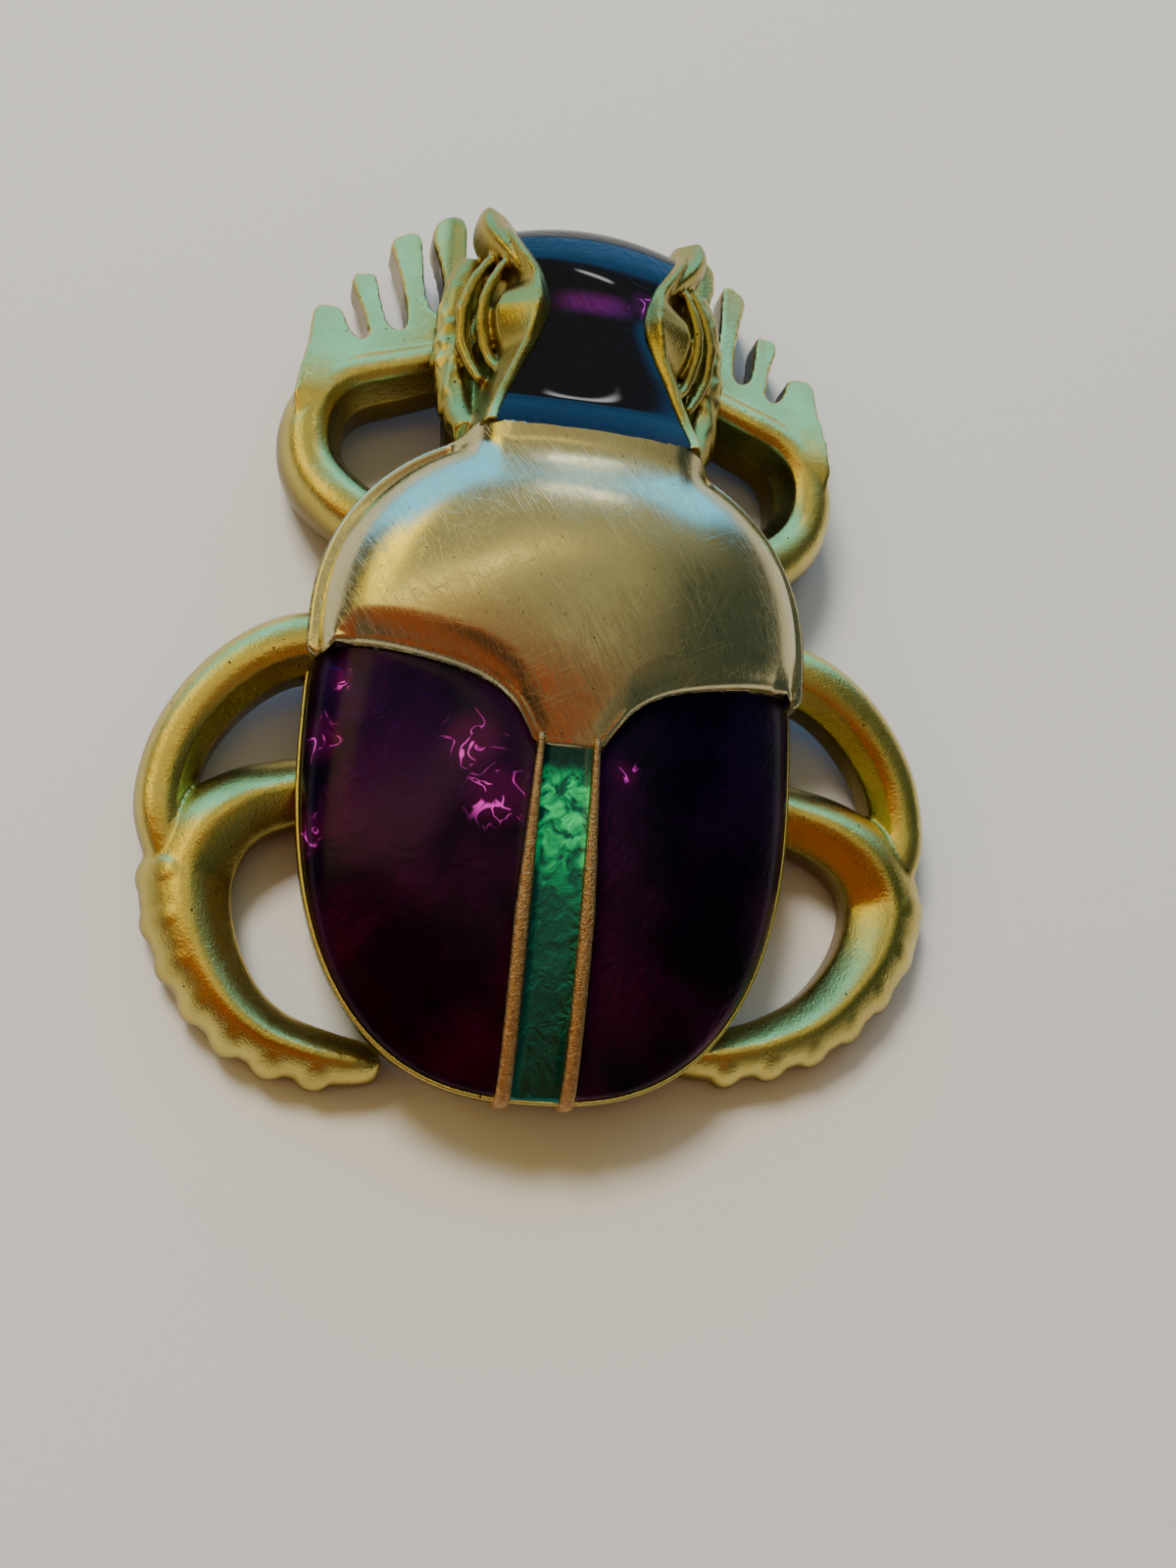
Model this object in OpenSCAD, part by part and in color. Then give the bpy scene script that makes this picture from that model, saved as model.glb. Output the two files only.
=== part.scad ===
// A scarab brooch: one gold-plated casting with a hollow back, enamel in its cells and a bar pin behind.
// The plan is drawn from the line through the shield's rear corners, with the head towards +Y,
// and then moved so that the origin lies under the middle of the whole brooch, on the table.

/* [Wing cases] */
// Width across the two wing cases
wings_w = 25; // [22:0.1:27]
// Length of the wing cases behind the shield's rear corners
wings_len = 21.2; // [19:0.1:24]
// How far behind the shield's corners the wing cases are widest
wings_mid = 3; // [1:0.1:5]
// Height of the wing cases' crown above the table
wings_top = 8.5; // [8.2:0.1:9.4]
// Fall of the crown for each millimetre towards the tail
wings_fall = 0.12; // [0.06:0.01:0.14]
// Height of the gold rim under the wing enamel
rim_h = 3.9; // [3.4:0.1:4.5]
// Width of the gold rim that shows outside the wing enamel
rim_w = 0.2; // [0.1:0.05:0.4]
// Thickness of the enamel
enamel_t = 0.8; // [0.5:0.05:1]
// Gap between the enamel and the metal round it
enamel_gap = 0.05; // [0.03:0.01:0.1]

/* [Stripe] */
// Width of the stripe between its ridges
stripe_w = 2.3; // [1.8:0.1:3]
// Width of each ridge beside the stripe, at the tail
ridge_w = 0.8; // [0.5:0.05:1.2]
// Width of each ridge where it leaves the shield
ridge_top_w = 0.4; // [0.3:0.05:0.8]
// How far the ridges stand above the wing enamel
ridge_proud = 0.22; // [0.1:0.02:0.4]

/* [Shield] */
// Width of the shield over its bevelled edge
shield_w = 25.2; // [23:0.1:28]
// Length of the shield in front of its rear corners
shield_len = 11.2; // [10:0.1:13]
// Height of the shield's crown above the line of its corners
shield_top = 10.6; // [10:0.1:11.6]
// Rise of the shield's crown for each millimetre towards the head
shield_rise = 0.3; // [0.2:0.02:0.36]
// Height of the bevelled edge's lower line
flange_h = 5.7; // [5.2:0.1:6.2]
// Width of the bevelled edge
flange_w = 0.9; // [0.5:0.1:1.4]
// How far the shield's point runs back between the wing cases
shield_point = 4.8; // [3.6:0.1:6]

/* [Head] */
// Length of the head in front of the shield
head_len = 11.2; // [9.5:0.1:13]
// Width of the head's enamel at the neck
head_enamel_w = 9.6; // [8:0.1:10.6]
// Width of the head across its flanks
head_w = 13.4; // [12:0.1:15]
// Height of the head's enamel at the neck
neck_h = 11.1; // [10.2:0.1:11.8]
// Height of the low flank's upper edge
flank_h = 4.6; // [4:0.1:5.4]
// Thickness of the raised plate beside the head's enamel
plate_w = 0.8; // [0.5:0.05:1.1]
// How far that plate stands above the enamel
plate_proud = 0.3; // [0.1:0.05:0.5]
// Diameter of an eye
eye_d = 4.6; // [4:0.1:5.6]
// Diameter of a horn
horn_d = 1.5; // [1.1:0.1:1.9]
// Diameter of the ribbons on the head's flanks
ribbon_d = 1.2; // [0.8:0.1:1.6]

/* [Fore legs] */
// Half of the width across the fore legs
fore_reach = 14.8; // [13.8:0.1:16.5]
// Length from the fore leg's root to the longest tooth's tip
fore_run = 18.6; // [16.5:0.1:21]
// Width of a fore leg's round arm
fore_w = 3.3; // [2.6:0.1:3.8]
// Depth of a fore leg
fore_d = 3.7; // [3:0.1:4.4]
// Thickness of the toothed blade
blade_t = 2.2; // [1.6:0.1:2.6]
// Width of a tooth at its tip
tooth_w = 1.25; // [1:0.05:1.5]
// How much lower the blade's longest tip lies than its root
blade_dip = 1.9; // [0.6:0.1:2]

/* [Middle and hind legs] */
// How far the left middle leg stands out beyond the wing cases
left_middle_span = 7.7; // [6.6:0.1:9]
// How far the right middle leg stands out beyond the wing cases
right_middle_span = 8.7; // [6.6:0.1:9.4]
// How far the left hind leg stands out beyond the wing cases
left_hind_span = 6.2; // [5.6:0.1:8]
// How far the right hind leg stands out beyond the wing cases
right_hind_span = 8.4; // [6.6:0.1:9.4]
// How far the legs' hidden ends run in under the body
leg_tuck = 7.8; // [6.6:0.1:8.4]
// Length from the front of the middle legs to the back of the hind legs
leg_run = 22.4; // [20.5:0.1:23]
// How far the front of the middle legs lies before the shield's corners
leg_front = 2.2; // [1.4:0.1:3]
// Width of a leg
leg_w = 3.3; // [2.8:0.1:3.7]
// Depth of a leg
leg_d = 3.4; // [2.8:0.1:4]
// How high the legs leave the body above where they stand
leg_lift = 2; // [1.4:0.1:2.4]
// How far the left legs lie back from their even place
left_leg_back = 0.5; // [0:0.1:1]
// How far the right legs lie forward of their even place
right_leg_fore = 0.9; // [0:0.1:1.2]
// Depth of the scallops along the hind legs' outer edge
scallop_d = 0.3; // [0.1:0.05:0.45]
// Number of scallops along each hind leg
scallops = 7; // [5:1:9]

/* [Back] */
// Height of the flat back rim above the table
back_h = 2.6; // [2.4:0.1:3]
// Thickness of the metal round the hollow back
wall = 1.2; // [1:0.1:1.8]
// Distance of the pin bar in front of the shield's corners
pin_y = 4; // [2:0.1:5]
// Length of the pin bar
pin_bar_len = 21; // [20:0.1:21.8]
// Width of the pin bar
pin_bar_w = 3; // [2.4:0.1:3.6]
// Thickness of the pin bar
pin_bar_t = 0.8; // [0.6:0.1:1]
// Diameter of the pin stem
pin_d = 0.9; // [0.7:0.05:1]
// Length of the hinge block and of the catch along the bar
pin_block = 2.2; // [1.8:0.1:3]
// Clear height below the hinge block and the catch
pin_clear = 0.3; // [0.2:0.05:0.5]
// Gap between the pin bar and the back rim
seat_gap = 0.03; // [0.02:0.01:0.05]

/* [Hidden] */

gold = "goldenrod";
amethyst = "#3b0a45";
emerald = "#0a7a4c";

// How square the plan of the wing cases and of the shield is: 2 is an ellipse
wings_power = 2.55;
shield_power = 2.3;
// Where the shield is widest, in front of its rear corners, and how high its bevel rises
shield_mid = 1;
flange_rise = 1.7;
// Facets round a dome and rings up it
dome_sides = 48;
dome_rings = 7;
// Facets round a leg, and rings for each row of its table
leg_sides = 10;
leg_steps = 3;
// Lap that joins two forms, and a length beyond the whole brooch
tiny = 0.01;
big = 60;

// How far the head's cell runs back over the shield, and where the fore legs leave it
neck_lap = 1;
fore_leg_share = 0.63;
head_run = head_len + neck_lap;
head_back_y = shield_len - neck_lap;
fore_root = shield_len * fore_leg_share;
// The foot of the head's plate: its share of the plate's half width, and how far it lies below the top
plate_foot = 1.1;
plate_fall = 1;
stripe_edge = stripe_w / 2;
front_y = fore_root + fore_run;
tail_y = -wings_len - ridge_proud;
middle_y = (front_y + tail_y) / 2;

// The shield's rear edge: x as a share of half the shield's width, y as a share of its point
REAR_X = 0;
REAR_Y = 1;
shield_rear = [
    [1.02, 0], [0.93, 0.07], [0.7, 0.17], [0.4, 0.36], [0.25, 0.57], [0.17, 0.82], [0.13, 1]
];

// The head from neck to front: along is a share of its run, cell a share of half the enamel's width,
// base a share of half the head's width, and top a share of the neck's height
ALONG = 0;
CELL = 1;
BASE = 2;
TOP = 3;
head_rows = [
    [0, 1, 0.96, 1], [0.1, 0.93, 0.97, 0.955], [0.26, 0.78, 1, 0.92], [0.43, 0.6, 1, 0.905],
    [0.58, 0.5, 0.99, 0.9], [0.72, 0.58, 0.95, 0.9], [0.85, 0.76, 0.9, 0.9],
    [0.93, 0.86, 0.86, 0.875], [0.975, 0.88, 0.82, 0.83], [1, 0.88, 0.8, 0.77]
];
// The gold neck behind the enamel, and the gold brow in front of it
neck_rows = [[-0.1, 1, 0.84, 0.79], [-0.04, 1, 0.92, 0.875]];
brow_rows = [[1.03, 0.84, 0.76, 0.68], [1.05, 0.76, 0.7, 0.58]];

// Middle and hind legs: out is a share of the leg's span beyond the wing cases, or of leg_tuck inside
// them, back a share of leg_run, wide a share of leg_w, lift a share of leg_lift, and deep one of leg_d
OUT = 0;
BACK = 1;
WIDE = 2;
LIFT = 3;
DEEP = 4;
middle_rows = [
    [-0.3, 0.05, 1, 1, 1], [0.03, 0.062, 1, 0.95, 1], [0.28, 0.1, 0.97, 0.8, 1],
    [0.52, 0.172, 0.94, 0.5, 1], [0.71, 0.275, 0.9, 0.2, 1], [0.79, 0.39, 0.86, 0, 0.98],
    [0.75, 0.5, 0.8, 0, 0.92]
];
hind_rows = [
    [-0.3, 0.35, 1, 1, 1], [0.03, 0.378, 1.05, 0.8, 1], [0.36, 0.415, 1.15, 0.5, 1],
    [0.62, 0.48, 1.3, 0.2, 1], [0.74, 0.575, 1.34, 0, 1], [0.68, 0.68, 1.24, 0, 1],
    [0.52, 0.775, 1.1, 0, 0.98], [0.28, 0.86, 0.98, 0, 0.95], [-0.03, 0.915, 0.86, 0, 0.9],
    [-0.34, 0.942, 0.76, 0, 0.84], [-0.58, 0.95, 0.62, 0, 0.76], [-0.7, 0.95, 0.3, 0.2, 0.5]
];

// Fore legs: side is a share of fore_reach, fore a share of fore_run, wide a share of fore_w,
// lift a share of leg_lift, and deep a share of fore_d
femur_rows = [
    [0.6, -0.03, 1, 1, 1], [0.77, 0.06, 1, 0.7, 1], [0.875, 0.16, 1, 0.3, 1],
    [0.905, 0.29, 1, 0, 1], [0.885, 0.4, 0.95, 0.1, 1], [0.86, 0.51, 0.8, 0.3, 0.9],
    [0.85, 0.57, 0.5, 0.5, 0.7]
];
arm_rows = [
    [0.9, 0.37, 0.8, 0.2, 0.92], [0.76, 0.44, 0.78, 0.3, 0.9], [0.62, 0.48, 0.7, 0.4, 0.9],
    [0.44, 0.54, 0.66, 0.5, 0.9]
];
// The blade's teeth, the outermost first: root and tip as shares of fore_reach and fore_run
TEETH = [
    [0.85, 0.53, 0.865, 0.675], [0.715, 0.555, 0.75, 0.81], [0.585, 0.6, 0.615, 0.935],
    [0.47, 0.64, 0.485, 1]
];

// How far a leg's outer edge stands out beyond the wing cases
function leg_edge(rows, span) = max([for (r = rows) r[OUT] * span + r[WIDE] * leg_w / 2]);
right_edge = max(leg_edge(middle_rows, right_middle_span), leg_edge(hind_rows, right_hind_span));
left_edge = max(leg_edge(middle_rows, left_middle_span), leg_edge(hind_rows, left_hind_span));
middle_x = (right_edge - left_edge) / 2;

function row_at(rows, i) = rows[max(0, min(len(rows) - 1, i))];
function curve(a, b, c, d, t) =
    0.5 * (2 * b + (c - a) * t + (2 * a - 5 * b + 4 * c - d) * t * t
    + (3 * b - a - 3 * c + d) * t * t * t);
// Rows between those of a table, on a smooth curve through them
function smooth_rows(rows, steps) = concat([
    for (i = [0 : len(rows) - 2], k = [0 : steps - 1])
        curve(row_at(rows, i - 1), rows[i], rows[i + 1], row_at(rows, i + 2), k / steps)
], [rows[len(rows) - 1]]);

function signed_power(v, p) = sign(v) * pow(abs(v), p);

// Solid between rings of points that all have the same number of points
module loft(rings) {
    n = len(rings[0]);
    last = len(rings) - 1;
    points = [for (ring = rings, p = ring) p];
    walls = [
        for (k = [0 : last - 1], i = [0 : n - 1])
            let (j = (i + 1) % n)
            each [
                [k * n + i, (k + 1) * n + j, k * n + j],
                [k * n + i, (k + 1) * n + i, (k + 1) * n + j]
            ]
    ];
    start = [for (i = [0 : n - 1]) i];
    finish = [for (i = [n - 1 : -1 : 0]) last * n + i];
    polyhedron(points, concat(walls, [start, finish]), convexity = 8);
}

// Dome over a squared ellipse in plan. Its crown rises by slope for each millimetre towards the head,
// and its wall goes straight down from rim to bottom
module dome(half_w, front, back, mid_y, power, rim, top, slope, bottom) {
    rings = [
        for (k = [1 : dome_rings])
            let (t = pow(sin(90 * k / dome_rings), 2 / power), share = cos(90 * k / dome_rings))
            [
                for (i = [0 : dome_sides - 1])
                    let (
                        a = 360 * (i + 0.5) / dome_sides,
                        x = t * half_w * signed_power(cos(a), 2 / power),
                        y = t * (sin(a) > 0 ? front : back) * signed_power(sin(a), 2 / power)
                    )
                    [x, mid_y + y, rim + (top + slope * y - rim) * share]
            ]
    ];
    apex = [0, mid_y, top];
    n = dome_sides;
    foot = [for (p = rings[dome_rings - 1]) [p[0], p[1], bottom]];
    points = concat([apex], [for (ring = rings, p = ring) p], foot);
    cap = [for (i = [0 : n - 1]) [0, 1 + (i + 1) % n, 1 + i]];
    walls = [
        for (k = [0 : dome_rings - 1], i = [0 : n - 1])
            let (j = (i + 1) % n, upper = 1 + k * n, lower = upper + n)
            each [[upper + i, upper + j, lower + j], [upper + i, lower + j, lower + i]]
    ];
    floor_face = [for (i = [0 : n - 1]) 1 + dome_rings * n + i];
    polyhedron(points, concat(cap, walls, [floor_face]), convexity = 6);
}

// The wing cases' outer form, drawn in by inset all round and from above
module wings_form(inset, rim, bottom) {
    dome(wings_w / 2 - inset, shield_len - inset, wings_len - wings_mid - inset, -wings_mid,
        wings_power, rim, wings_top - inset, wings_fall, bottom);
}

// Plan of what lies in front of the shield's rear edge, moved back by shift
module shield_plan(shift) {
    half = shield_w / 2;
    edge = [for (r = shield_rear) [r[REAR_X] * half, -r[REAR_Y] * shield_point - shift]];
    last = len(edge) - 1;
    polygon(concat(
        [[big, big], [-big, big]],
        [for (p = edge) [-p[0], p[1]]],
        [for (i = [last : -1 : 0]) edge[i]]
    ));
}

module upright(height) {
    linear_extrude(height) children();
}

// Plan of the stripe with its two ridges: the ridges widen from the shield's point to the tail
module stripe_plan(grow) {
    top_half = stripe_edge + ridge_top_w + grow;
    low_half = stripe_edge + ridge_w + grow;
    polygon([
        [-top_half, 0], [-top_half, -shield_point], [-low_half, -wings_len * 0.6], [-low_half, -big],
        [low_half, -big], [low_half, -wings_len * 0.6], [top_half, -shield_point], [top_half, 0]
    ]);
}

module wing_enamel(side) {
    color(amethyst) placed() intersection() {
        difference() {
            wings_form(rim_w, rim_h + enamel_gap, rim_h + enamel_gap);
            wings_form(enamel_t, rim_h, 0);
        }
        upright(big) difference() {
            translate([side > 0 ? 0 : -big, -big]) square([big, big]);
            stripe_plan(enamel_gap);
            shield_plan(enamel_gap);
        }
    }
}

module stripe_enamel() {
    color(emerald) placed() intersection() {
        difference() {
            wings_form(0, rim_h + enamel_gap, rim_h + enamel_gap);
            wings_form(enamel_t, rim_h, 0);
        }
        upright(big) difference() {
            translate([-stripe_edge + enamel_gap, -big]) square([stripe_w - 2 * enamel_gap, big]);
            shield_plan(enamel_gap);
        }
    }
}

// Gold ground under the enamel, the rim round it and the two ridges
module wings_metal() {
    wings_form(enamel_t + enamel_gap, rim_h, back_h);
    translate([0, 0, back_h]) upright(rim_h - back_h) wings_plan();
    intersection() {
        wings_form(-ridge_proud, rim_h, back_h);
        upright(big) difference() {
            stripe_plan(0);
            translate([-stripe_edge, -big]) square([stripe_w, big]);
        }
    }
}

module wings_plan() {
    polygon([
        for (i = [0 : dome_sides - 1])
            let (a = 360 * (i + 0.5) / dome_sides)
            [
                wings_w / 2 * signed_power(cos(a), 2 / wings_power),
                -wings_mid + (sin(a) > 0 ? shield_len : wings_len - wings_mid)
                    * signed_power(sin(a), 2 / wings_power)
            ]
    ]);
}

module shield() {
    intersection() {
        union() {
            dome(shield_w / 2 - flange_w, shield_len - shield_mid - flange_w, big, shield_mid,
                shield_power, flange_h, shield_top, shield_rise, back_h);
            dome(shield_w / 2, shield_len - shield_mid, big, shield_mid,
                shield_power, flange_h, flange_h + flange_rise, 0, back_h);
        }
        upright(big) shield_plan(0);
    }
}

function head_section(r, drop, grow, over) =
    let (
        y = head_back_y + r[ALONG] * head_run,
        cell = r[CELL] * head_enamel_w / 2,
        top = r[TOP] * neck_h
    )
    [
        [-cell + grow, y, top - enamel_t + drop], [-cell + grow, y, top + over],
        [-cell / 2, y, top + over + plate_proud / 2], [cell / 2, y, top + over + plate_proud / 2],
        [cell - grow, y, top + over], [cell - grow, y, top - enamel_t + drop]
    ];

module head_enamel() {
    color(amethyst) placed()
        loft([for (r = smooth_rows(head_rows, 2)) head_section(r, enamel_gap, enamel_gap, 0)]);
}

// The head's frame: raised plates beside the cell and falling flanks
module head_frame() {
    loft([
        for (r = concat(neck_rows, smooth_rows(head_rows, 2), brow_rows))
            let (
                y = head_back_y + r[ALONG] * head_run,
                plate = r[CELL] * head_enamel_w / 2 + plate_w,
                base = r[BASE] * head_w / 2,
                top = r[TOP] * neck_h
            )
            [
                [-base, y, back_h], [-base, y, flank_h], [-plate * plate_foot, y, top - plate_fall],
                [-plate, y, top + plate_proud], [plate, y, top + plate_proud],
                [plate * plate_foot, y, top - plate_fall], [base, y, flank_h], [base, y, back_h]
            ]
    ]);
}

// Chain of balls joined by hulls
module chain(points, d) {
    for (i = [0 : len(points) - 2])
        hull() {
            translate(points[i]) sphere(d = d, $fn = 12);
            translate(points[i + 1]) sphere(d = d, $fn = 12);
        }
}

function on_head(along, out, height) = [
    out * head_w / 2, head_back_y + along * head_run, height * neck_h
];

module head_side() {
    translate(on_head(0.63, 0.66, 0.67)) scale([0.96, 1.12, 0.98]) sphere(d = eye_d, $fn = 24);
    chain([on_head(0.74, 0.66, 0.84), on_head(0.87, 0.74, 0.89), on_head(0.96, 0.82, 0.88),
        on_head(1, 0.84, 0.8)], horn_d);
    chain([on_head(0.92, 0.86, 0.66), on_head(0.75, 0.94, 0.58), on_head(0.55, 0.99, 0.54),
        on_head(0.35, 0.96, 0.56), on_head(0.16, 0.9, 0.62)], ribbon_d);
    chain([on_head(0.9, 0.9, 0.46), on_head(0.65, 1, 0.42), on_head(0.4, 1.01, 0.4),
        on_head(0.14, 0.96, 0.44)], ribbon_d);
}

// Solid along a leg's rows: each ring stands upright across the leg
module limb(spots, bumps, bump_d) {
    last = len(spots) - 1;
    loft([
        for (i = [0 : last])
            let (
                p = spots[i],
                ahead = spots[min(last, i + 1)],
                behind = spots[max(0, i - 1)],
                run = [ahead[0] - behind[0], ahead[1] - behind[1]],
                across = [run[1], -run[0]] / norm(run),
                half = p[2] / 2,
                wave = bumps == 0 || i < last * 0.3 ? 0 : bump_d * cos(360 * bumps * (i / last - 0.3) / 0.7)
            )
            [
                for (k = [0 : leg_sides - 1])
                    let (
                        a = -360 * k / leg_sides - 90,
                        out = cos(a),
                        reach = out * half + (out < -0.3 ? -wave : 0)
                    )
                    [p[0] + across[0] * reach, p[1] + across[1] * reach,
                        p[3] + p[4] / 2 * (1 + sin(a))]
            ]
    ]);
}

function leg_spot(r, span) = [
    wings_w / 2 + r[OUT] * (r[OUT] < 0 ? leg_tuck : span), leg_front - r[BACK] * leg_run,
    r[WIDE] * leg_w, max(0, r[LIFT]) * leg_lift, r[DEEP] * leg_d
];
function fore_spot(r) = [
    r[OUT] * fore_reach, fore_root + r[BACK] * fore_run,
    r[WIDE] * fore_w, max(0, r[LIFT]) * leg_lift, r[DEEP] * fore_d
];

module rear_legs(middle_span, hind_span) {
    limb([for (r = smooth_rows(middle_rows, leg_steps)) leg_spot(r, middle_span)], 0, 0);
    limb([for (r = smooth_rows(hind_rows, leg_steps)) leg_spot(r, hind_span)], scallops, scallop_d / 2);
}

function fore_plan(side, fore) = [side * fore_reach, fore_root + fore * fore_run];

module tooth_plan(t) {
    root = fore_plan(t[0], t[1]);
    tip = fore_plan(t[2], t[3]);
    hull() {
        translate(root) circle(d = tooth_w * 1.3, $fn = 16);
        translate(tip) rotate(atan2(tip[1] - root[1], tip[0] - root[0]) - 90)
            translate([-tooth_w / 2, -tooth_w / 3]) square([tooth_w, tooth_w / 3]);
    }
}

// Flat toothed blade: it dips towards its tips, and its web joins the teeth to the arm
module blade() {
    dip = blade_dip / (fore_run * 0.5);
    root_top = leg_lift * 0.3 + fore_d;
    multmatrix([
        [1, 0, 0, 0], [0, 1, 0, 0],
        [0, -dip, 1, root_top - blade_t + dip * (fore_root + fore_run * 0.5)], [0, 0, 0, 1]
    ])
        upright(blade_t) {
            for (t = TEETH) tooth_plan(t);
            for (i = [0 : len(TEETH) - 2])
                hull()
                    for (t = [TEETH[i], TEETH[i + 1]], step = [0, 0.1])
                        translate(fore_plan(t[0], t[1] - step)) circle(d = tooth_w, $fn = 16);
        }
}

module fore_leg() {
    limb([for (r = smooth_rows(femur_rows, leg_steps)) fore_spot(r)], 0, 0);
    limb([for (r = smooth_rows(arm_rows, leg_steps)) fore_spot(r)], 0, 0);
    blade();
}

module both_sides() {
    children();
    mirror([1, 0, 0]) children();
}

// The hollow in the back keeps the wall below the enamel and inside the outline
module hollow() {
    inset = enamel_t + wall;
    dome(wings_w / 2 - inset, shield_len + wings_mid - 2 * inset, wings_len - wings_mid - inset,
        -wings_mid, wings_power, back_h, wings_top - inset, wings_fall, 0);
}

module casting() {
    color(gold) placed() difference() {
        union() {
            wings_metal();
            shield();
            head_frame();
            both_sides() head_side();
            both_sides() fore_leg();
            // The legs leave the body outside the cells of the wing enamel
            difference() {
                union() {
                    translate([0, right_leg_fore, 0]) rear_legs(right_middle_span, right_hind_span);
                    translate([0, -left_leg_back, 0])
                        mirror([1, 0, 0]) rear_legs(left_middle_span, left_hind_span);
                }
                wings_form(rim_w - enamel_gap, rim_h, rim_h);
            }
        }
        hollow();
        // Room for the pin bar between the legs' hidden ends
        translate([-pin_bar_len / 2 - seat_gap, pin_y - pin_bar_w / 2 - seat_gap, 0])
            cube([pin_bar_len + 2 * seat_gap, pin_bar_w + 2 * seat_gap, back_h - tiny]);
        // The cell that the head's enamel fills, with the space over it
        loft([for (r = smooth_rows(head_rows, 2)) head_section(r, 0, 0, 3)]);
    }
}

// Bar, hinge block, stem and catch in one plain piece
module pin_finding() {
    top = back_h - seat_gap;
    bar_low = top - pin_bar_t;
    stem_z = pin_clear + (bar_low - pin_clear) / 2;
    color("silver") placed() translate([0, pin_y, 0]) {
        translate([-pin_bar_len / 2, -pin_bar_w / 2, bar_low]) cube([pin_bar_len, pin_bar_w, pin_bar_t]);
        for (side = [-1, 1])
            translate([side * (pin_bar_len - pin_block) / 2, 0, (pin_clear + bar_low) / 2 + tiny])
                cube([pin_block, pin_bar_w * 0.8, bar_low - pin_clear + 2 * tiny], center = true);
        translate([-pin_bar_len / 2 + pin_block / 2, 0, stem_z]) rotate([0, 90, 0])
            cylinder(d = pin_d, h = pin_bar_len - pin_block, $fn = 48);
    }
}

module placed() {
    translate([-middle_x, -middle_y, 0]) children();
}

casting();
wing_enamel(-1);  // left_wing_enamel
wing_enamel(1);  // right_wing_enamel
stripe_enamel();
head_enamel();
pin_finding();
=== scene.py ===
"""Scarab brooch: one gold-plated casting with amethyst and emerald enamel in its cells, on a pale table."""
import math

import bmesh
import bpy
import numpy as np
from mathutils import Matrix, Vector, noise


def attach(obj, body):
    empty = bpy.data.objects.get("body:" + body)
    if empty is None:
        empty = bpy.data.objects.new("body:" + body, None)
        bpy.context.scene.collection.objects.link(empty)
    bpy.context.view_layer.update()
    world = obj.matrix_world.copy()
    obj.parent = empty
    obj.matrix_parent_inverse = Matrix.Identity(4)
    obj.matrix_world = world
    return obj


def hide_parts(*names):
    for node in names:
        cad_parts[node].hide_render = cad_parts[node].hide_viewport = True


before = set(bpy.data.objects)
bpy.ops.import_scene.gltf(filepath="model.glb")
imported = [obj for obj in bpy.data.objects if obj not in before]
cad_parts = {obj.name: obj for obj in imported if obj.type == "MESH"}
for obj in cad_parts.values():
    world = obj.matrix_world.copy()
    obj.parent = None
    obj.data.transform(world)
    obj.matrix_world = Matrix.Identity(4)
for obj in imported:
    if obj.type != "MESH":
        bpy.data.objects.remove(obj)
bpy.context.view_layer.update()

# The view, the table and the light
# The brooch lies face up on a pale table and is seen from above, from behind its left side.
# Sizes are in millimetres on the body's own lines: x from its centre line, and y from the line through
# the shield's rear corners, with the head at +y. These values put such a point into the frame.
MM = 0.001
CENTRE_X = -0.459
CORNERS_Y = -2.118
AZIMUTH, ELEVATION, ROLL = (math.radians(a) for a in (-37.0, 70.5, 41.3))
CAMERA_DISTANCE = 83.2
CAMERA_SIDE, CAMERA_RISE = 2.5, -4.3


def in_frame(point):
    """A point on the body's lines, in millimetres, as a point of the frame in metres."""
    return Vector(((point[0] + CENTRE_X) * MM, (point[1] + CORNERS_Y) * MM, point[2] * MM))


def linear(hex_colour):
    """A colour written as sRGB hex, as linear values with alpha."""
    parts = [int(hex_colour[i:i + 2], 16) / 255 for i in (1, 3, 5)]
    return tuple(c / 12.92 if c <= 0.04045 else ((c + 0.055) / 1.055) ** 2.4 for c in parts) + (1.0,)


def add(tree, kind, inputs=None, output=0, **settings):
    """Adds a node with its settings and gives one of its outputs. What inputs holds for a socket is linked to
    it if it is an output, and set as its value if not."""
    made = tree.nodes.new(kind)
    for name, value in settings.items():
        setattr(made, name, value)
    for socket, value in (inputs or {}).items():
        if isinstance(value, bpy.types.NodeSocket):
            tree.links.new(value, made.inputs[socket])
        else:
            made.inputs[socket].default_value = value
    return made.outputs[output] if made.outputs else made


# Settings that many nodes share: a value's range with soft ends, and a mix of two colours. A Mix node's
# colour sockets share their names with others, so they go by number: the amount is 0, the colours 6 and 7.
SOFT = {"interpolation_type": "SMOOTHSTEP"}
COLOURS = {"data_type": "RGBA", "output": 2}


def new_material(name):
    material = bpy.data.materials.new(name)
    material.use_nodes = True
    material.node_tree.nodes.clear()
    return material, material.node_tree


def finish(tree, inputs):
    """Ends a material in one shader with the given inputs."""
    shader = add(tree, "ShaderNodeBsdfPrincipled", inputs)
    add(tree, "ShaderNodeOutputMaterial", {"Surface": shader})


def put(name, data):
    """A new object in the scene."""
    made = bpy.data.objects.new(name, data)
    bpy.context.scene.collection.objects.link(made)
    return made


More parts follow.
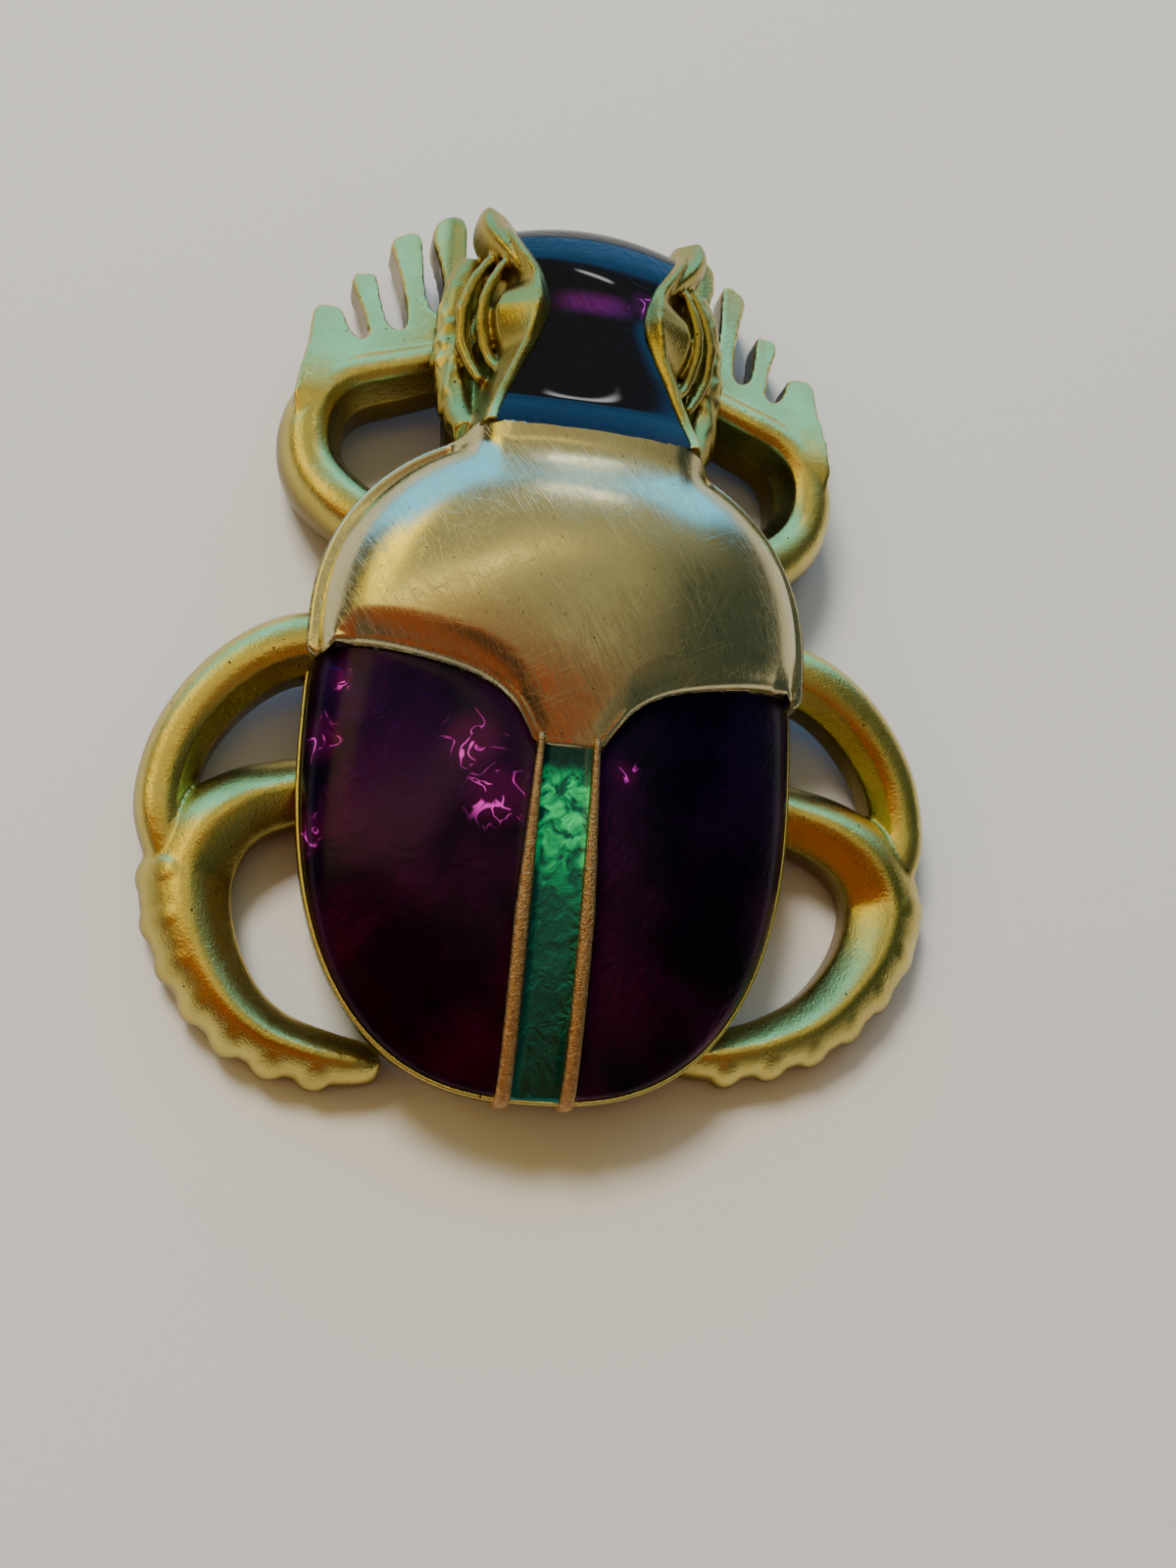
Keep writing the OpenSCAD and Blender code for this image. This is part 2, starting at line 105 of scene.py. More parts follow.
back = Vector((math.sin(AZIMUTH) * math.cos(ELEVATION), -math.cos(AZIMUTH) * math.cos(ELEVATION),
               math.sin(ELEVATION)))
level = Vector((math.cos(AZIMUTH), math.sin(AZIMUTH), 0))
upright = back.cross(level)
right = math.cos(ROLL) * level + math.sin(ROLL) * upright
up = -math.sin(ROLL) * level + math.cos(ROLL) * upright
camera = put("camera", bpy.data.cameras.new("camera"))
camera.matrix_world = Matrix((right, up, back)).transposed().to_4x4()
camera.location = in_frame(back * CAMERA_DISTANCE + right * CAMERA_SIDE + up * CAMERA_RISE)
camera.data.lens = 36
camera.data.sensor_width = 36
camera.data.clip_start = 0.005
camera.data.clip_end = 5
bpy.context.scene.camera = camera

FLOOR_HALF = 0.6
floor_mesh = bpy.data.meshes.new("table_top")
floor_mesh.from_pydata([(-FLOOR_HALF, -FLOOR_HALF, 0), (FLOOR_HALF, -FLOOR_HALF, 0),
                        (FLOOR_HALF, FLOOR_HALF, 0), (-FLOOR_HALF, FLOOR_HALF, 0)], [], [(0, 1, 2, 3)])
# Pale matt board: even and warm, with no pattern
board, tree = new_material("pale_matt_board")
finish(tree, {"Base Color": linear("#D6CFC4"), "Roughness": 0.8})
floor_mesh.materials.append(board)
put("table_top", floor_mesh)

# The room that the metal mirrors: a window of sky low beyond the head with a thin lamp above it, a yellow
# pane and a strip of cream light at the left, a grey wall at the right, and a red-brown patch with a dark
# middle at the tail
world = bpy.data.worlds.new("room")
bpy.context.scene.world = world
world.use_nodes = True
tree = world.node_tree
tree.nodes.clear()
way = add(tree, "ShaderNodeTexCoord", output="Generated")
to_side, to_head, rise = add(tree, "ShaderNodeSeparateXYZ", {"Vector": way}).node.outputs


def higher(start, end):
    """0 to 1 as the sine of a direction's elevation goes from start to end."""
    return add(tree, "ShaderNodeMapRange", {"Value": rise, "From Min": start, "From Max": end}, **SOFT)


def across_room(direction, start, end):
    """0 to 1 as a direction's share along the given one goes from start to end."""
    aim = add(tree, "ShaderNodeVectorMath", {0: way, 1: direction}, "Value", operation="DOT_PRODUCT")
    return add(tree, "ShaderNodeMapRange", {"Value": aim, "From Min": start, "From Max": end}, **SOFT)


def both(*masks):
    """Where all the masks are 1."""
    joined = masks[0]
    for mask in masks[1:]:
        joined = add(tree, "ShaderNodeMath", {0: joined, 1: mask}, operation="MULTIPLY")
    return joined


def pane(azimuth, half_width, low, high, soft, side_soft=0.12):
    """Mask of a part of the room: the azimuth from the head's side towards +x and the half width are in
    degrees, and low and high are heights as the sine of the elevation."""
    turn = math.radians(azimuth)
    flat = add(tree, "ShaderNodeVectorMath", {0: way, 1: (1.0, 1.0, 0.0)}, operation="MULTIPLY")
    flat = add(tree, "ShaderNodeVectorMath", {0: flat}, operation="NORMALIZE")
    aim = add(tree, "ShaderNodeVectorMath", {0: flat, 1: (math.sin(turn), math.cos(turn), 0.0)}, "Value",
              operation="DOT_PRODUCT")
    edge = math.cos(math.radians(half_width))
    beside = add(tree, "ShaderNodeMapRange", {"Value": aim, "From Min": edge - side_soft,
                                              "From Max": edge + side_soft}, **SOFT)
    return both(beside, higher(low - soft, low + soft), higher(high + soft, high - soft))


def lit(hex_colour, strength):
    """A colour of the room, times its strength."""
    return tuple(c * strength for c in linear(hex_colour)[:3]) + (1.0,)


patch = both(across_room((-0.33, -1.0, 0.0), 0.255, 0.305), across_room((1.0, 0.0, 0.0), 0.3, 0.22),
             higher(0.26, 0.4))
dark_middle = across_room(Vector((-0.16, -0.6, 0.78)).normalized(), 0.964, 0.985)
# The strip bends towards the head at its right end
bend = add(tree, "ShaderNodeMath", {0: to_side, 1: -0.25}, operation="MAXIMUM")
bend = add(tree, "ShaderNodeMath", {0: bend, 1: 0.6}, operation="MULTIPLY")
strip = add(tree, "ShaderNodeMath", {0: to_head, 1: bend}, operation="SUBTRACT")
strip = add(tree, "ShaderNodeMath", {0: strip, 1: 0.1}, operation="SUBTRACT")
strip = add(tree, "ShaderNodeMath", {0: strip}, operation="ABSOLUTE")
strip = add(tree, "ShaderNodeMapRange", {"Value": strip, "From Min": 0.11, "From Max": 0.03}, **SOFT)
strip_end = both(across_room((1.0, 0.0, 0.0), 0.2, 0.06), higher(0.3, 0.5))
# Each part of the room covers those before it: colour, strength and mask
ROOM_PARTS = [
    ("#CFCCA6", 0.78, higher(0.2, 0.93)),
    ("#6C7E74", 0.42, pane(103, 40, 0.05, 0.9, 0.06, 0.2)),
    ("#B25C38", 0.88, patch),
    ("#5E5644", 0.4, dark_middle),
    ("#FFE454", 3.4, pane(-66, 22, 0.42, 0.7, 0.06, 0.1)),
    ("#FFECA0", 1.9, both(strip, strip_end)),
    ("#66BAFF", 3.0, pane(-6, 52, 0.03, 0.64, 0.05, 0.08)),
    ("#FFFFFF", 18.0, pane(12, 10, 0.75, 0.766, 0.008, 0.01))]
room = lit("#A09A84", 0.26)
for hex_colour, strength, mask in ROOM_PARTS:
    room = add(tree, "ShaderNodeMix", {0: mask, 6: room, 7: lit(hex_colour, strength)}, **COLOURS)
back_light = add(tree, "ShaderNodeBackground", {"Color": room, "Strength": 1.0})
add(tree, "ShaderNodeOutputWorld", {"Surface": back_light})

# Soft lamp that lights the brooch and throws its shadow. The metal mirrors the room instead of the lamp.
lamp = bpy.data.lights.new("window", "AREA")
lamp.shape = "RECTANGLE"
lamp.size, lamp.size_y = 0.20, 0.14
lamp.energy = 4.2
lamp.color = linear("#F6F4F0")[:3]
window = put("window", lamp)
window.location = (-0.20, 0.34, 0.42)
window.rotation_euler = (-window.location).to_track_quat("-Z", "Y").to_euler()
window.visible_glossy = False

# The casting's body
# The floor of the wing cases and the wall under the shield, cast in one with the rest: a gold-plated
# zinc alloy, hollow behind. Its flank and its flat rim stay as cast, with a fine grain.
WINGS_W, WINGS_FRONT, WINGS_BACK, WINGS_MID = 25.0, 11.2, 18.2, -3.0
WINGS_TOP, WINGS_FALL, WINGS_POWER = 8.5, 0.12, 2.55
RIM_H, BACK_H, WALL, ENAMEL_T = 3.9, 2.6, 1.2, 0.8
SHIELD_W, SHIELD_LEN, SHIELD_MID, SHIELD_POWER, FLANGE_H = 25.2, 11.2, 1.0, 2.3, 5.7


def outline(half_w, front, rear, mid_y, power, angle):
    """A point of a squared ellipse in plan. The angle runs from +x towards the head."""
    c, s = math.cos(angle), math.sin(angle)
    x = half_w * math.copysign(abs(c) ** (2 / power), c)
    y = (front if s > 0 else rear) * math.copysign(abs(s) ** (2 / power), s)
    return x, mid_y + y


def dome(half_w, front, rear, mid_y, power, rim, top, slope, bottom, sides=128, rings=22):
    """Closed dome with straight walls below its rim, as rings from the foot to the crown."""
    loops = []
    for k in range(rings + 1):
        lean = max(0.02, math.cos(math.pi / 2 * k / rings))
        grow = lean ** (2 / power)
        share = math.sqrt(1 - lean * lean)
        loops.append([(x, y, rim + (top + slope * (y - mid_y) - rim) * share)
                      for x, y in (outline(half_w * grow, front * grow, rear * grow, mid_y, power,
                                           2 * math.pi * i / sides) for i in range(sides))])
    foot = [(x, y, bottom) for x, y, z in loops[0]]
    return tube([foot] + loops)


def tube(rings):
    """Closed solid through rings of points, as (points, faces)."""
    rings = np.array(rings, float)
    count, sides = rings.shape[:2]
    faces = [(k * sides + i, k * sides + (i + 1) % sides, (k + 1) * sides + (i + 1) % sides,
              (k + 1) * sides + i) for k in range(count - 1) for i in range(sides)]
    first, last = count * sides, count * sides + 1
    end = (count - 1) * sides
    faces += [(first, (i + 1) % sides, i) for i in range(sides)]
    faces += [(last, end + i, end + (i + 1) % sides) for i in range(sides)]
    points = np.vstack([rings.reshape(-1, 3), rings[0].mean(0), rings[-1].mean(0)])
    return points, faces


def mesh_of(name, shells, scale=1.0, shift=(0, 0, 0)):
    """One mesh of closed shells, with doubles merged and faces turned outwards."""
    work = bmesh.new()
    for points, faces in shells:
        made = [work.verts.new(Vector(p)) for p in points]
        for face in faces:
            if len(set(face)) > 2:
                work.faces.new([made[i] for i in face])
    bmesh.ops.remove_doubles(work, verts=work.verts, dist=1e-4)
    bmesh.ops.dissolve_degenerate(work, edges=work.edges, dist=1e-5)
    bmesh.ops.recalc_face_normals(work, faces=work.faces)
    for vert in work.verts:
        vert.co = (vert.co + Vector(shift)) * scale
    mesh = bpy.data.meshes.new(name)
    work.to_mesh(mesh)
    work.free()
    return mesh


def applied(thing):
    """The thing's mesh with its modifiers applied. The thing itself is removed."""
    depsgraph = bpy.context.evaluated_depsgraph_get()
    mesh = bpy.data.meshes.new_from_object(thing.evaluated_get(depsgraph))
    mesh.name = thing.name
    bpy.data.objects.remove(thing)
    return mesh


def netted(name, shells, voxel):
    """Shells cast in one: an object that joins them over a fine net. Everything is in millimetres."""
    thing = put(name, mesh_of(name, shells))
    net = thing.modifiers.new("net", "REMESH")
    net.mode = "VOXEL"
    net.voxel_size = voxel
    return thing


def fused(name, shells, voxel, rounds, cutters=()):
    """Shells cast in one, with their corners softened as a mould does, put in the frame."""
    thing = netted(name, shells, voxel)
    soften = thing.modifiers.new("soften", "SMOOTH")
    soften.factor = 0.5
    soften.iterations = rounds
    for cutter in cutters:
        cut = thing.modifiers.new("cut", "BOOLEAN")
        cut.operation = "DIFFERENCE"
        cut.solver = "EXACT"
        cut.object = cutter
    mesh = applied(thing)
    for cutter in cutters:
        bpy.data.objects.remove(cutter)
    mesh.transform(Matrix.Translation(Vector((CENTRE_X, CORNERS_Y, 0))))
    mesh.transform(Matrix.Scale(MM, 4))
    return mesh


def piece(name, mesh, material, nodes, crease=None):
    """Puts a finished mesh on the brooch: it shades smooth, and edges past the crease angle stay sharp."""
    mesh.materials.clear()
    mesh.materials.append(material)
    mesh.shade_smooth()
    if crease:
        mesh.set_sharp_from_angle(angle=math.radians(crease))
    made = put(name, mesh)
    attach(made, "root")
    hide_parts(*nodes)
    return made


def grain_bump(tree, place, size_mm, depth_mm, strength, under=None):
    """Bump of a grain of a real size and depth."""
    grain = add(tree, "ShaderNodeTexNoise", {"Vector": place, "Scale": 1 / (size_mm * MM), "Detail": 3.0,
                                             "Roughness": 0.6})
    inputs = {"Height": grain, "Strength": strength, "Distance": depth_mm * MM}
    if under:
        inputs["Normal"] = under
    return add(tree, "ShaderNodeBump", inputs)


def along_body(tree, place, start, end):
    """0 to 1 as y on the body's lines goes from start to end, in millimetres."""
    y = add(tree, "ShaderNodeSeparateXYZ", {"Vector": place}, "Y")
    return add(tree, "ShaderNodeMapRange", {"Value": y, "From Min": (start + CORNERS_Y) * MM,
                                            "From Max": (end + CORNERS_Y) * MM}, **SOFT)


# Gold-plated zinc alloy as cast: satin, with a fine grain and small dark pits in the plating. Faces that turn
# away from above are painted a darker olive as shade, and everything near the middle line from the back of
# the head forward is darkened halfway towards it
cast_gold, tree = new_material("satin_cast_gold_plate")
place = add(tree, "ShaderNodeTexCoord", output="Object")
cloudy = add(tree, "ShaderNodeTexNoise", {"Vector": place, "Scale": 1 / (2.2 * MM), "Detail": 4.0})
pits = add(tree, "ShaderNodeTexVoronoi", {"Vector": place, "Scale": 1 / (0.5 * MM), "Randomness": 1.0}).node
chance = add(tree, "ShaderNodeSeparateColor", {"Color": pits.outputs["Color"]}, "Red")
pit_size = add(tree, "ShaderNodeMapRange", {"Value": chance, "From Min": 0.55, "From Max": 1.0}, **SOFT)
pit_size = add(tree, "ShaderNodeMath", {0: pit_size, 1: 0.16}, operation="MULTIPLY")
pit = add(tree, "ShaderNodeMath", {0: pit_size, 1: pits.outputs["Distance"]}, operation="SUBTRACT")
pit = add(tree, "ShaderNodeMapRange", {"Value": pit, "From Min": 0.0, "From Max": 0.05}, **SOFT)
# Painted shade: the darker olive where the surface turns away from above, and halfway over the head
normal = add(tree, "ShaderNodeNewGeometry", output="Normal")
facing_up = add(tree, "ShaderNodeSeparateXYZ", {"Vector": normal}, "Z")
side_shade_and_dark_head = add(tree, "ShaderNodeMapRange", {"Value": facing_up, "From Min": 0.6, "From Max": 0.05}, **SOFT)
side = add(tree, "ShaderNodeSeparateXYZ", {"Vector": place}, "X")
side = add(tree, "ShaderNodeMath", {0: side, 1: CENTRE_X * MM}, operation="SUBTRACT")
side = add(tree, "ShaderNodeMath", {0: side}, operation="ABSOLUTE")
inside = add(tree, "ShaderNodeMapRange", {"Value": side, "From Min": 7.6 * MM, "From Max": 7.0 * MM}, **SOFT)
on_head = add(tree, "ShaderNodeMath", {0: inside, 1: along_body(tree, place, 10.6, 12)}, operation="MULTIPLY")
on_head = add(tree, "ShaderNodeMath", {0: on_head, 1: 0.5}, operation="MULTIPLY")
side_shade_and_dark_head = add(tree, "ShaderNodeMath", {0: side_shade_and_dark_head, 1: on_head}, operation="MAXIMUM")
colour = add(tree, "ShaderNodeMix", {0: cloudy, 6: linear("#DECC74"), 7: linear("#BCAA56")}, **COLOURS)
colour = add(tree, "ShaderNodeMix", {0: side_shade_and_dark_head, 6: colour, 7: linear("#75611A")}, **COLOURS)
colour = add(tree, "ShaderNodeMix", {0: pit, 6: colour, 7: linear("#4C3E1C")}, **COLOURS)
rough = add(tree, "ShaderNodeMapRange", {"Value": cloudy, "From Min": 0.3, "From Max": 0.7,
                                         "To Min": 0.2, "To Max": 0.33})
normal = grain_bump(tree, place, 0.13, 0.03, 0.85)
normal = grain_bump(tree, place, 0.8, 0.06, 0.4, normal)
finish(tree, {"Base Color": colour, "Metallic": 1.0, "Roughness": rough, "Normal": normal})

# Under the shield the wall keeps clear of its flange, and under the wing enamel it is the cell's floor
FLOOR_GAP, SHIELD_INSET, SHIELD_WALL_BACK = 0.05, 0.06, 3.0
floor_inset = ENAMEL_T + FLOOR_GAP
body_shells = [
    dome(WINGS_W / 2, WINGS_FRONT, WINGS_BACK, WINGS_MID, WINGS_POWER, RIM_H, RIM_H + FLOOR_GAP, 0, BACK_H,
         rings=4),
    dome(WINGS_W / 2 - floor_inset, WINGS_FRONT - floor_inset, WINGS_BACK - floor_inset, WINGS_MID,
         WINGS_POWER, RIM_H, WINGS_TOP - floor_inset, WINGS_FALL, BACK_H + 0.3),
    dome(SHIELD_W / 2 - SHIELD_INSET, SHIELD_LEN - SHIELD_MID - SHIELD_INSET, SHIELD_WALL_BACK, SHIELD_MID,
         SHIELD_POWER, FLANGE_H - 0.2, FLANGE_H + 0.1, 0, BACK_H, rings=4),
]
hollow_inset = ENAMEL_T + WALL
hollow = put("hollow", mesh_of("hollow", [
    dome(WINGS_W / 2 - hollow_inset, SHIELD_LEN - WINGS_MID - 2 * hollow_inset, WINGS_BACK - hollow_inset,
         WINGS_MID, WINGS_POWER, BACK_H, WINGS_TOP - hollow_inset, WINGS_FALL, 0.5)]))
piece("body", fused("body", body_shells, 0.2, 3, [hollow]), cast_gold, ["casting"])

# Middle and hind legs
# Round satin legs cast in one with the body. Each middle leg arches over to the knee of the hind leg,
# whose outer edge is scalloped. The tables hold shares of the sizes below, as the part's source does.
LEFT_MIDDLE_SPAN, RIGHT_MIDDLE_SPAN, LEFT_HIND_SPAN, RIGHT_HIND_SPAN = 7.65, 8.6, 6.15, 8.25
LEG_TUCK, LEG_RUN, LEG_FRONT, LEG_W, LEG_D, LEG_LIFT = 7.8, 22.4, 2.2, 3.3, 3.4, 2.0
LEFT_LEG_BACK, RIGHT_LEG_FORE = 0.5, 0.9
# The knuckles: their count, half length, thickness and height, lean, last size as a share of the first, where
# the row starts and ends as shares of the leg, and its place as a share of half the width and of the depth
SCALLOPS, SCALLOP_FORM, SCALLOP_LEAN, SCALLOP_LAST = 7, (1.3, 0.8, 1.75), math.radians(38), 0.8
SCALLOPS_FROM, SCALLOPS_TO, SCALLOP_AT, SCALLOP_UP = 0.365, 0.81, 0.53, 0.55
# out, back, wide, lift, deep
MIDDLE_ROWS = [
    (-0.3, 0.05, 1, 1, 1), (0.03, 0.062, 1, 0.95, 1), (0.28, 0.1, 0.97, 0.8, 1),
    (0.52, 0.172, 0.94, 0.5, 1), (0.71, 0.275, 0.9, 0.2, 1), (0.79, 0.39, 0.86, 0, 0.98),
    (0.76, 0.48, 0.8, 0, 0.92), (0.62, 0.6, 0.6, 0.1, 0.7)]
HIND_ROWS = [
    (-0.3, 0.35, 1, 0.4, 0.85), (0.03, 0.378, 1.05, 0.3, 0.92), (0.36, 0.415, 1.15, 0.3, 0.98),
    (0.62, 0.48, 1.3, 0.2, 1), (0.74, 0.575, 1.34, 0, 1), (0.68, 0.68, 1.24, 0, 1),
    (0.52, 0.775, 1.1, 0, 0.98), (0.28, 0.86, 0.98, 0, 0.95), (-0.03, 0.915, 0.86, 0, 0.9),
    (-0.34, 0.942, 0.76, 0, 0.84), (-0.58, 0.95, 0.62, 0, 0.76), (-0.68, 0.95, 0.42, 0.1, 0.6)]


def eased(rows, steps):
    """Rows between those of a table, on a smooth curve through them."""
    rows = np.array(rows, float)
    made = []
    for i in range(len(rows) - 1):
        a, b, c, d = rows[max(i - 1, 0)], rows[i], rows[i + 1], rows[min(i + 2, len(rows) - 1)]
        for t in np.arange(steps) / steps:
            made.append(0.5 * (2 * b + (c - a) * t + (2 * a - 5 * b + 4 * c - d) * t ** 2
                               + (3 * b - a - 3 * c + d) * t ** 3))
    return np.array(made + [rows[-1]])


# Sections of the legs, from the middle of the leg: towards the loop's inside and up, as shares of half the
# width and half the depth. A point given twice in a row keeps a crease.
ROUND_LEG = [
    (-0.55, -1), (0.6, -1), (0.95, -0.85), (1, -0.4), (0.98, 0.12), (0.95, 0.2), (0.56, 0.8), (0.5, 0.86),
    (0.15, 1), (-0.3, 0.97), (-0.66, 0.78), (-0.9, 0.42), (-1, 0), (-0.98, -0.45), (-0.85, -0.85)]
SLOPED_LEG = [
    (-0.5, -1), (0.6, -1), (0.95, -0.85), (1, -0.4), (1, 0.05), (0.93, 0.28), (0.6, 0.64), (0.28, 0.9),
    (0.02, 1), (-0.25, 0.9), (-0.6, 0.6), (-0.88, 0.2), (-1, -0.2), (-1, -0.6), (-0.82, -0.95)]


def closed_curve(points, steps=4):
    """Smooth closed curve through points."""
    points = np.array(points, float)
    a, c, d = np.roll(points, 1, 0), np.roll(points, -1, 0), np.roll(points, -2, 0)
    made = [0.5 * (2 * points + (c - a) * t + (2 * a - 5 * points + 4 * c - d) * t ** 2
                   + (3 * points - a - 3 * c + d) * t ** 3) for t in np.arange(steps) / steps]
    return np.stack(made, 1).reshape(-1, points.shape[1])


def limb(spots, section, inner):
    """Solid with the section along spots of x, y, width, low side and depth. Inner is 1 where the loop's
    inside lies at the right of the way along, and -1 where it lies at the left."""
    spots = np.array(spots, float)
    run = np.gradient(spots[:, :2], axis=0)
    run /= np.linalg.norm(run, axis=1)[:, None]
    across = np.stack([run[:, 1], -run[:, 0]], 1) * inner
    form = closed_curve(section)
    return tube([[(x + side[0] * px * wide / 2, y + side[1] * px * wide / 2, low + deep / 2 * (1 + pz))
                  for px, pz in form] for (x, y, wide, low, deep), side in zip(spots, across)])


def leg_spots(rows, span, shift_y, steps=10):
    """Spots of a rear leg on the right side."""
    return [(WINGS_W / 2 + out * (LEG_TUCK if out < 0 else span), LEG_FRONT - far * LEG_RUN + shift_y,
             wide * LEG_W, max(0, lift) * LEG_LIFT, deep * LEG_D)
            for out, far, wide, lift, deep in eased(rows, steps)]


def mirrored(shell):
    """The shell on the other side of the centre line."""
    points, faces = shell
    return np.array(points) * (-1, 1, 1), [face[::-1] for face in faces]


def knuckles(name, guide, count, form, lean, smallest):
    """Row of rounded knuckles along a guide, made by Geometry Nodes. Form is a knuckle's half length, half
    thickness and half height. Their size falls off to the last."""
    group = bpy.data.node_groups.new("knuckles_along_guide", "GeometryNodeTree")
    for socket, kind in (("Guide", "Geometry"), ("Count", "Int"), ("Form", "Vector"), ("Lean", "Vector"),
                         ("Smallest", "Float")):
        group.interface.new_socket(socket, in_out="INPUT", socket_type="NodeSocket" + kind)
    group.interface.new_socket("Knuckles", in_out="OUTPUT", socket_type="NodeSocketGeometry")
    given = group.nodes.new("NodeGroupInput").outputs
    line = add(group, "GeometryNodeMeshToCurve", {"Mesh": given["Guide"]})
    spaced = add(group, "GeometryNodeResampleCurve", {"Curve": line, "Count": given["Count"]})
    ball = add(group, "GeometryNodeMeshUVSphere", {"Segments": 28, "Rings": 18, "Radius": 1.0})
    knuckle = add(group, "GeometryNodeTransform", {"Geometry": ball, "Scale": given["Form"],
                                                   "Rotation": given["Lean"]})
    tangent = add(group, "GeometryNodeInputTangent")
    turn = add(group, "FunctionNodeAlignRotationToVector", {"Vector": tangent}, axis="X", pivot_axis="Z")
    last = add(group, "ShaderNodeMath", {0: given["Count"], 1: 1.0}, operation="SUBTRACT")
    size = add(group, "ShaderNodeMapRange", {"Value": add(group, "GeometryNodeInputIndex"), "From Max": last,
                                             "To Min": 1.0, "To Max": given["Smallest"]})
    row = add(group, "GeometryNodeInstanceOnPoints", {"Points": spaced, "Instance": knuckle, "Rotation": turn,
                                                      "Scale": size})
    real = add(group, "GeometryNodeRealizeInstances", {"Geometry": row})
    coated = add(group, "GeometryNodeSetMaterial", {"Geometry": real, "Material": cast_gold})
    add(group, "NodeGroupOutput", {"Knuckles": coated})

    line_mesh = bpy.data.meshes.new(name)
    line_mesh.from_pydata([tuple(p) for p in guide], [(i, i + 1) for i in range(len(guide) - 1)], [])
    thing = put(name, line_mesh)
    grower = thing.modifiers.new("knuckles", "NODES")
    grower.node_group = group
    sockets = {item.name: item.identifier for item in group.interface.items_tree if item.in_out == "INPUT"}
    for socket, value in (("Count", count), ("Form", form), ("Lean", lean), ("Smallest", smallest)):
        grower[sockets[socket]] = value
    mesh = applied(thing)
    return [tuple(v.co) for v in mesh.vertices], [tuple(p.vertices) for p in mesh.polygons]


rear_legs = []
for side, middle_span, hind_span, shift_y in ((1, RIGHT_MIDDLE_SPAN, RIGHT_HIND_SPAN, RIGHT_LEG_FORE),
                                              (-1, LEFT_MIDDLE_SPAN, LEFT_HIND_SPAN, -LEFT_LEG_BACK)):
    hind = np.array(leg_spots(HIND_ROWS, hind_span, shift_y))
    run = np.gradient(hind[:, :2], axis=0)
    run /= np.linalg.norm(run, axis=1)[:, None]
    first, last = round(len(hind) * SCALLOPS_FROM), round(len(hind) * SCALLOPS_TO)
    guide = []
    for (x, y, wide, low, deep), ahead in zip(hind[first:last], run[first:last]):
        guide.append((x - ahead[1] * wide / 2 * SCALLOP_AT, y + ahead[0] * wide / 2 * SCALLOP_AT,
                      low + deep * SCALLOP_UP))
    shells = [limb(leg_spots(MIDDLE_ROWS, middle_span, shift_y), ROUND_LEG, 1), limb(hind, SLOPED_LEG, 1),
              knuckles("knuckles", guide, SCALLOPS, SCALLOP_FORM, (SCALLOP_LEAN, 0.0, 0.0), SCALLOP_LAST)]
    rear_legs += shells if side > 0 else [mirrored(shell) for shell in shells]
piece("middle_and_hind_legs", fused("middle_and_hind_legs", rear_legs, 0.12, 3), cast_gold,
      ["casting"])

# Fore legs
# Each fore leg loops forward from under the shield to a flat toothed blade. Both are cast in one with the
# body in the same gold-plated alloy, and left satin.
FORE_REACH, FORE_RUN, FORE_W, FORE_D = 14.8, 18.6, 3.3, 3.7
FORE_ROOT = SHIELD_LEN * 0.63
BLADE_T, BLADE_H, BLADE_Y = 2.2, 4.9, 15.0
# side, fore, wide, lift, deep
LOOP_ROWS = [
    (0.6, -0.03, 1, 1, 1), (0.77, 0.06, 1, 0.7, 1.02), (0.875, 0.16, 1, 0.32, 1.1),
    (0.905, 0.27, 1, 0.15, 1.2), (0.872, 0.365, 0.95, 0.2, 1.2), (0.785, 0.432, 0.86, 0.3, 1.16),
    (0.64, 0.475, 0.8, 0.42, 1.12), (0.44, 0.535, 0.74, 0.55, 1.06)]
# Plan of the right blade, with its four teeth: x, y in millimetres
BLADE = [
    (13.9, 11.0), (14.3, 12.2), (14.4, 13.6), (14.2, 15.2), (13.97, 16.8), (13.9, 18.4), (13.75, 19.3),
    (13.1, 19.6), (12.4, 19.35), (12.0, 18.3), (11.6, 17.6), (11.15, 17.45), (10.95, 17.9), (11.2, 19.2),
    (11.6, 20.5), (12.0, 21.7), (11.7, 22.3), (10.8, 22.2), (10.45, 20.6), (10.05, 18.9), (9.6, 18.3),
    (9.15, 18.25), (9.0, 19.0), (9.3, 21.0), (9.75, 23.0), (10.1, 24.4), (9.5, 24.95), (8.6, 24.75),
    (8.35, 22.8), (8.1, 20.6), (7.7, 19.6), (7.3, 19.4), (7.15, 20.3), (7.45, 22.4), (7.95, 24.4),
    (7.75, 25.45), (7.0, 25.64), (6.25, 25.35), (6.1, 23.0), (6.0, 21.0), (5.9, 19.0), (6.6, 18.0),
    (7.9, 17.0), (9.2, 16.3), (10.6, 15.6), (11.8, 14.8), (12.7, 13.4), (13.2, 11.8)]


def smooth_max(a, b, blend):
    """The larger of two heights, with a fillet of about the blend between them."""
    mixed = np.clip(0.5 + 0.5 * (a - b) / blend, 0, 1)
    return b * (1 - mixed) + a * mixed + blend * mixed * (1 - mixed)


def fore_spots(rows, steps=10):
    """Spots of the right fore leg."""
    return [(side * FORE_REACH, FORE_ROOT + fore * FORE_RUN, wide * FORE_W, max(0, lift) * LEG_LIFT,
             deep * FORE_D) for side, fore, wide, lift, deep in eased(rows, steps)]


def blade_top(x, y):
    """Height of the blade: it falls to the tips, least beside the head, and sinks to the elbow."""
    fall = np.interp(abs(x), [7, 11.3], [0.07, 0.32])
    behind = max(0, BLADE_Y - 1.0 - y)
    tips, elbow = BLADE_H - fall * (y - BLADE_Y), BLADE_H - 0.02 * behind - 0.12 * behind ** 2
    return -smooth_max(-tips, -elbow, 0.5)


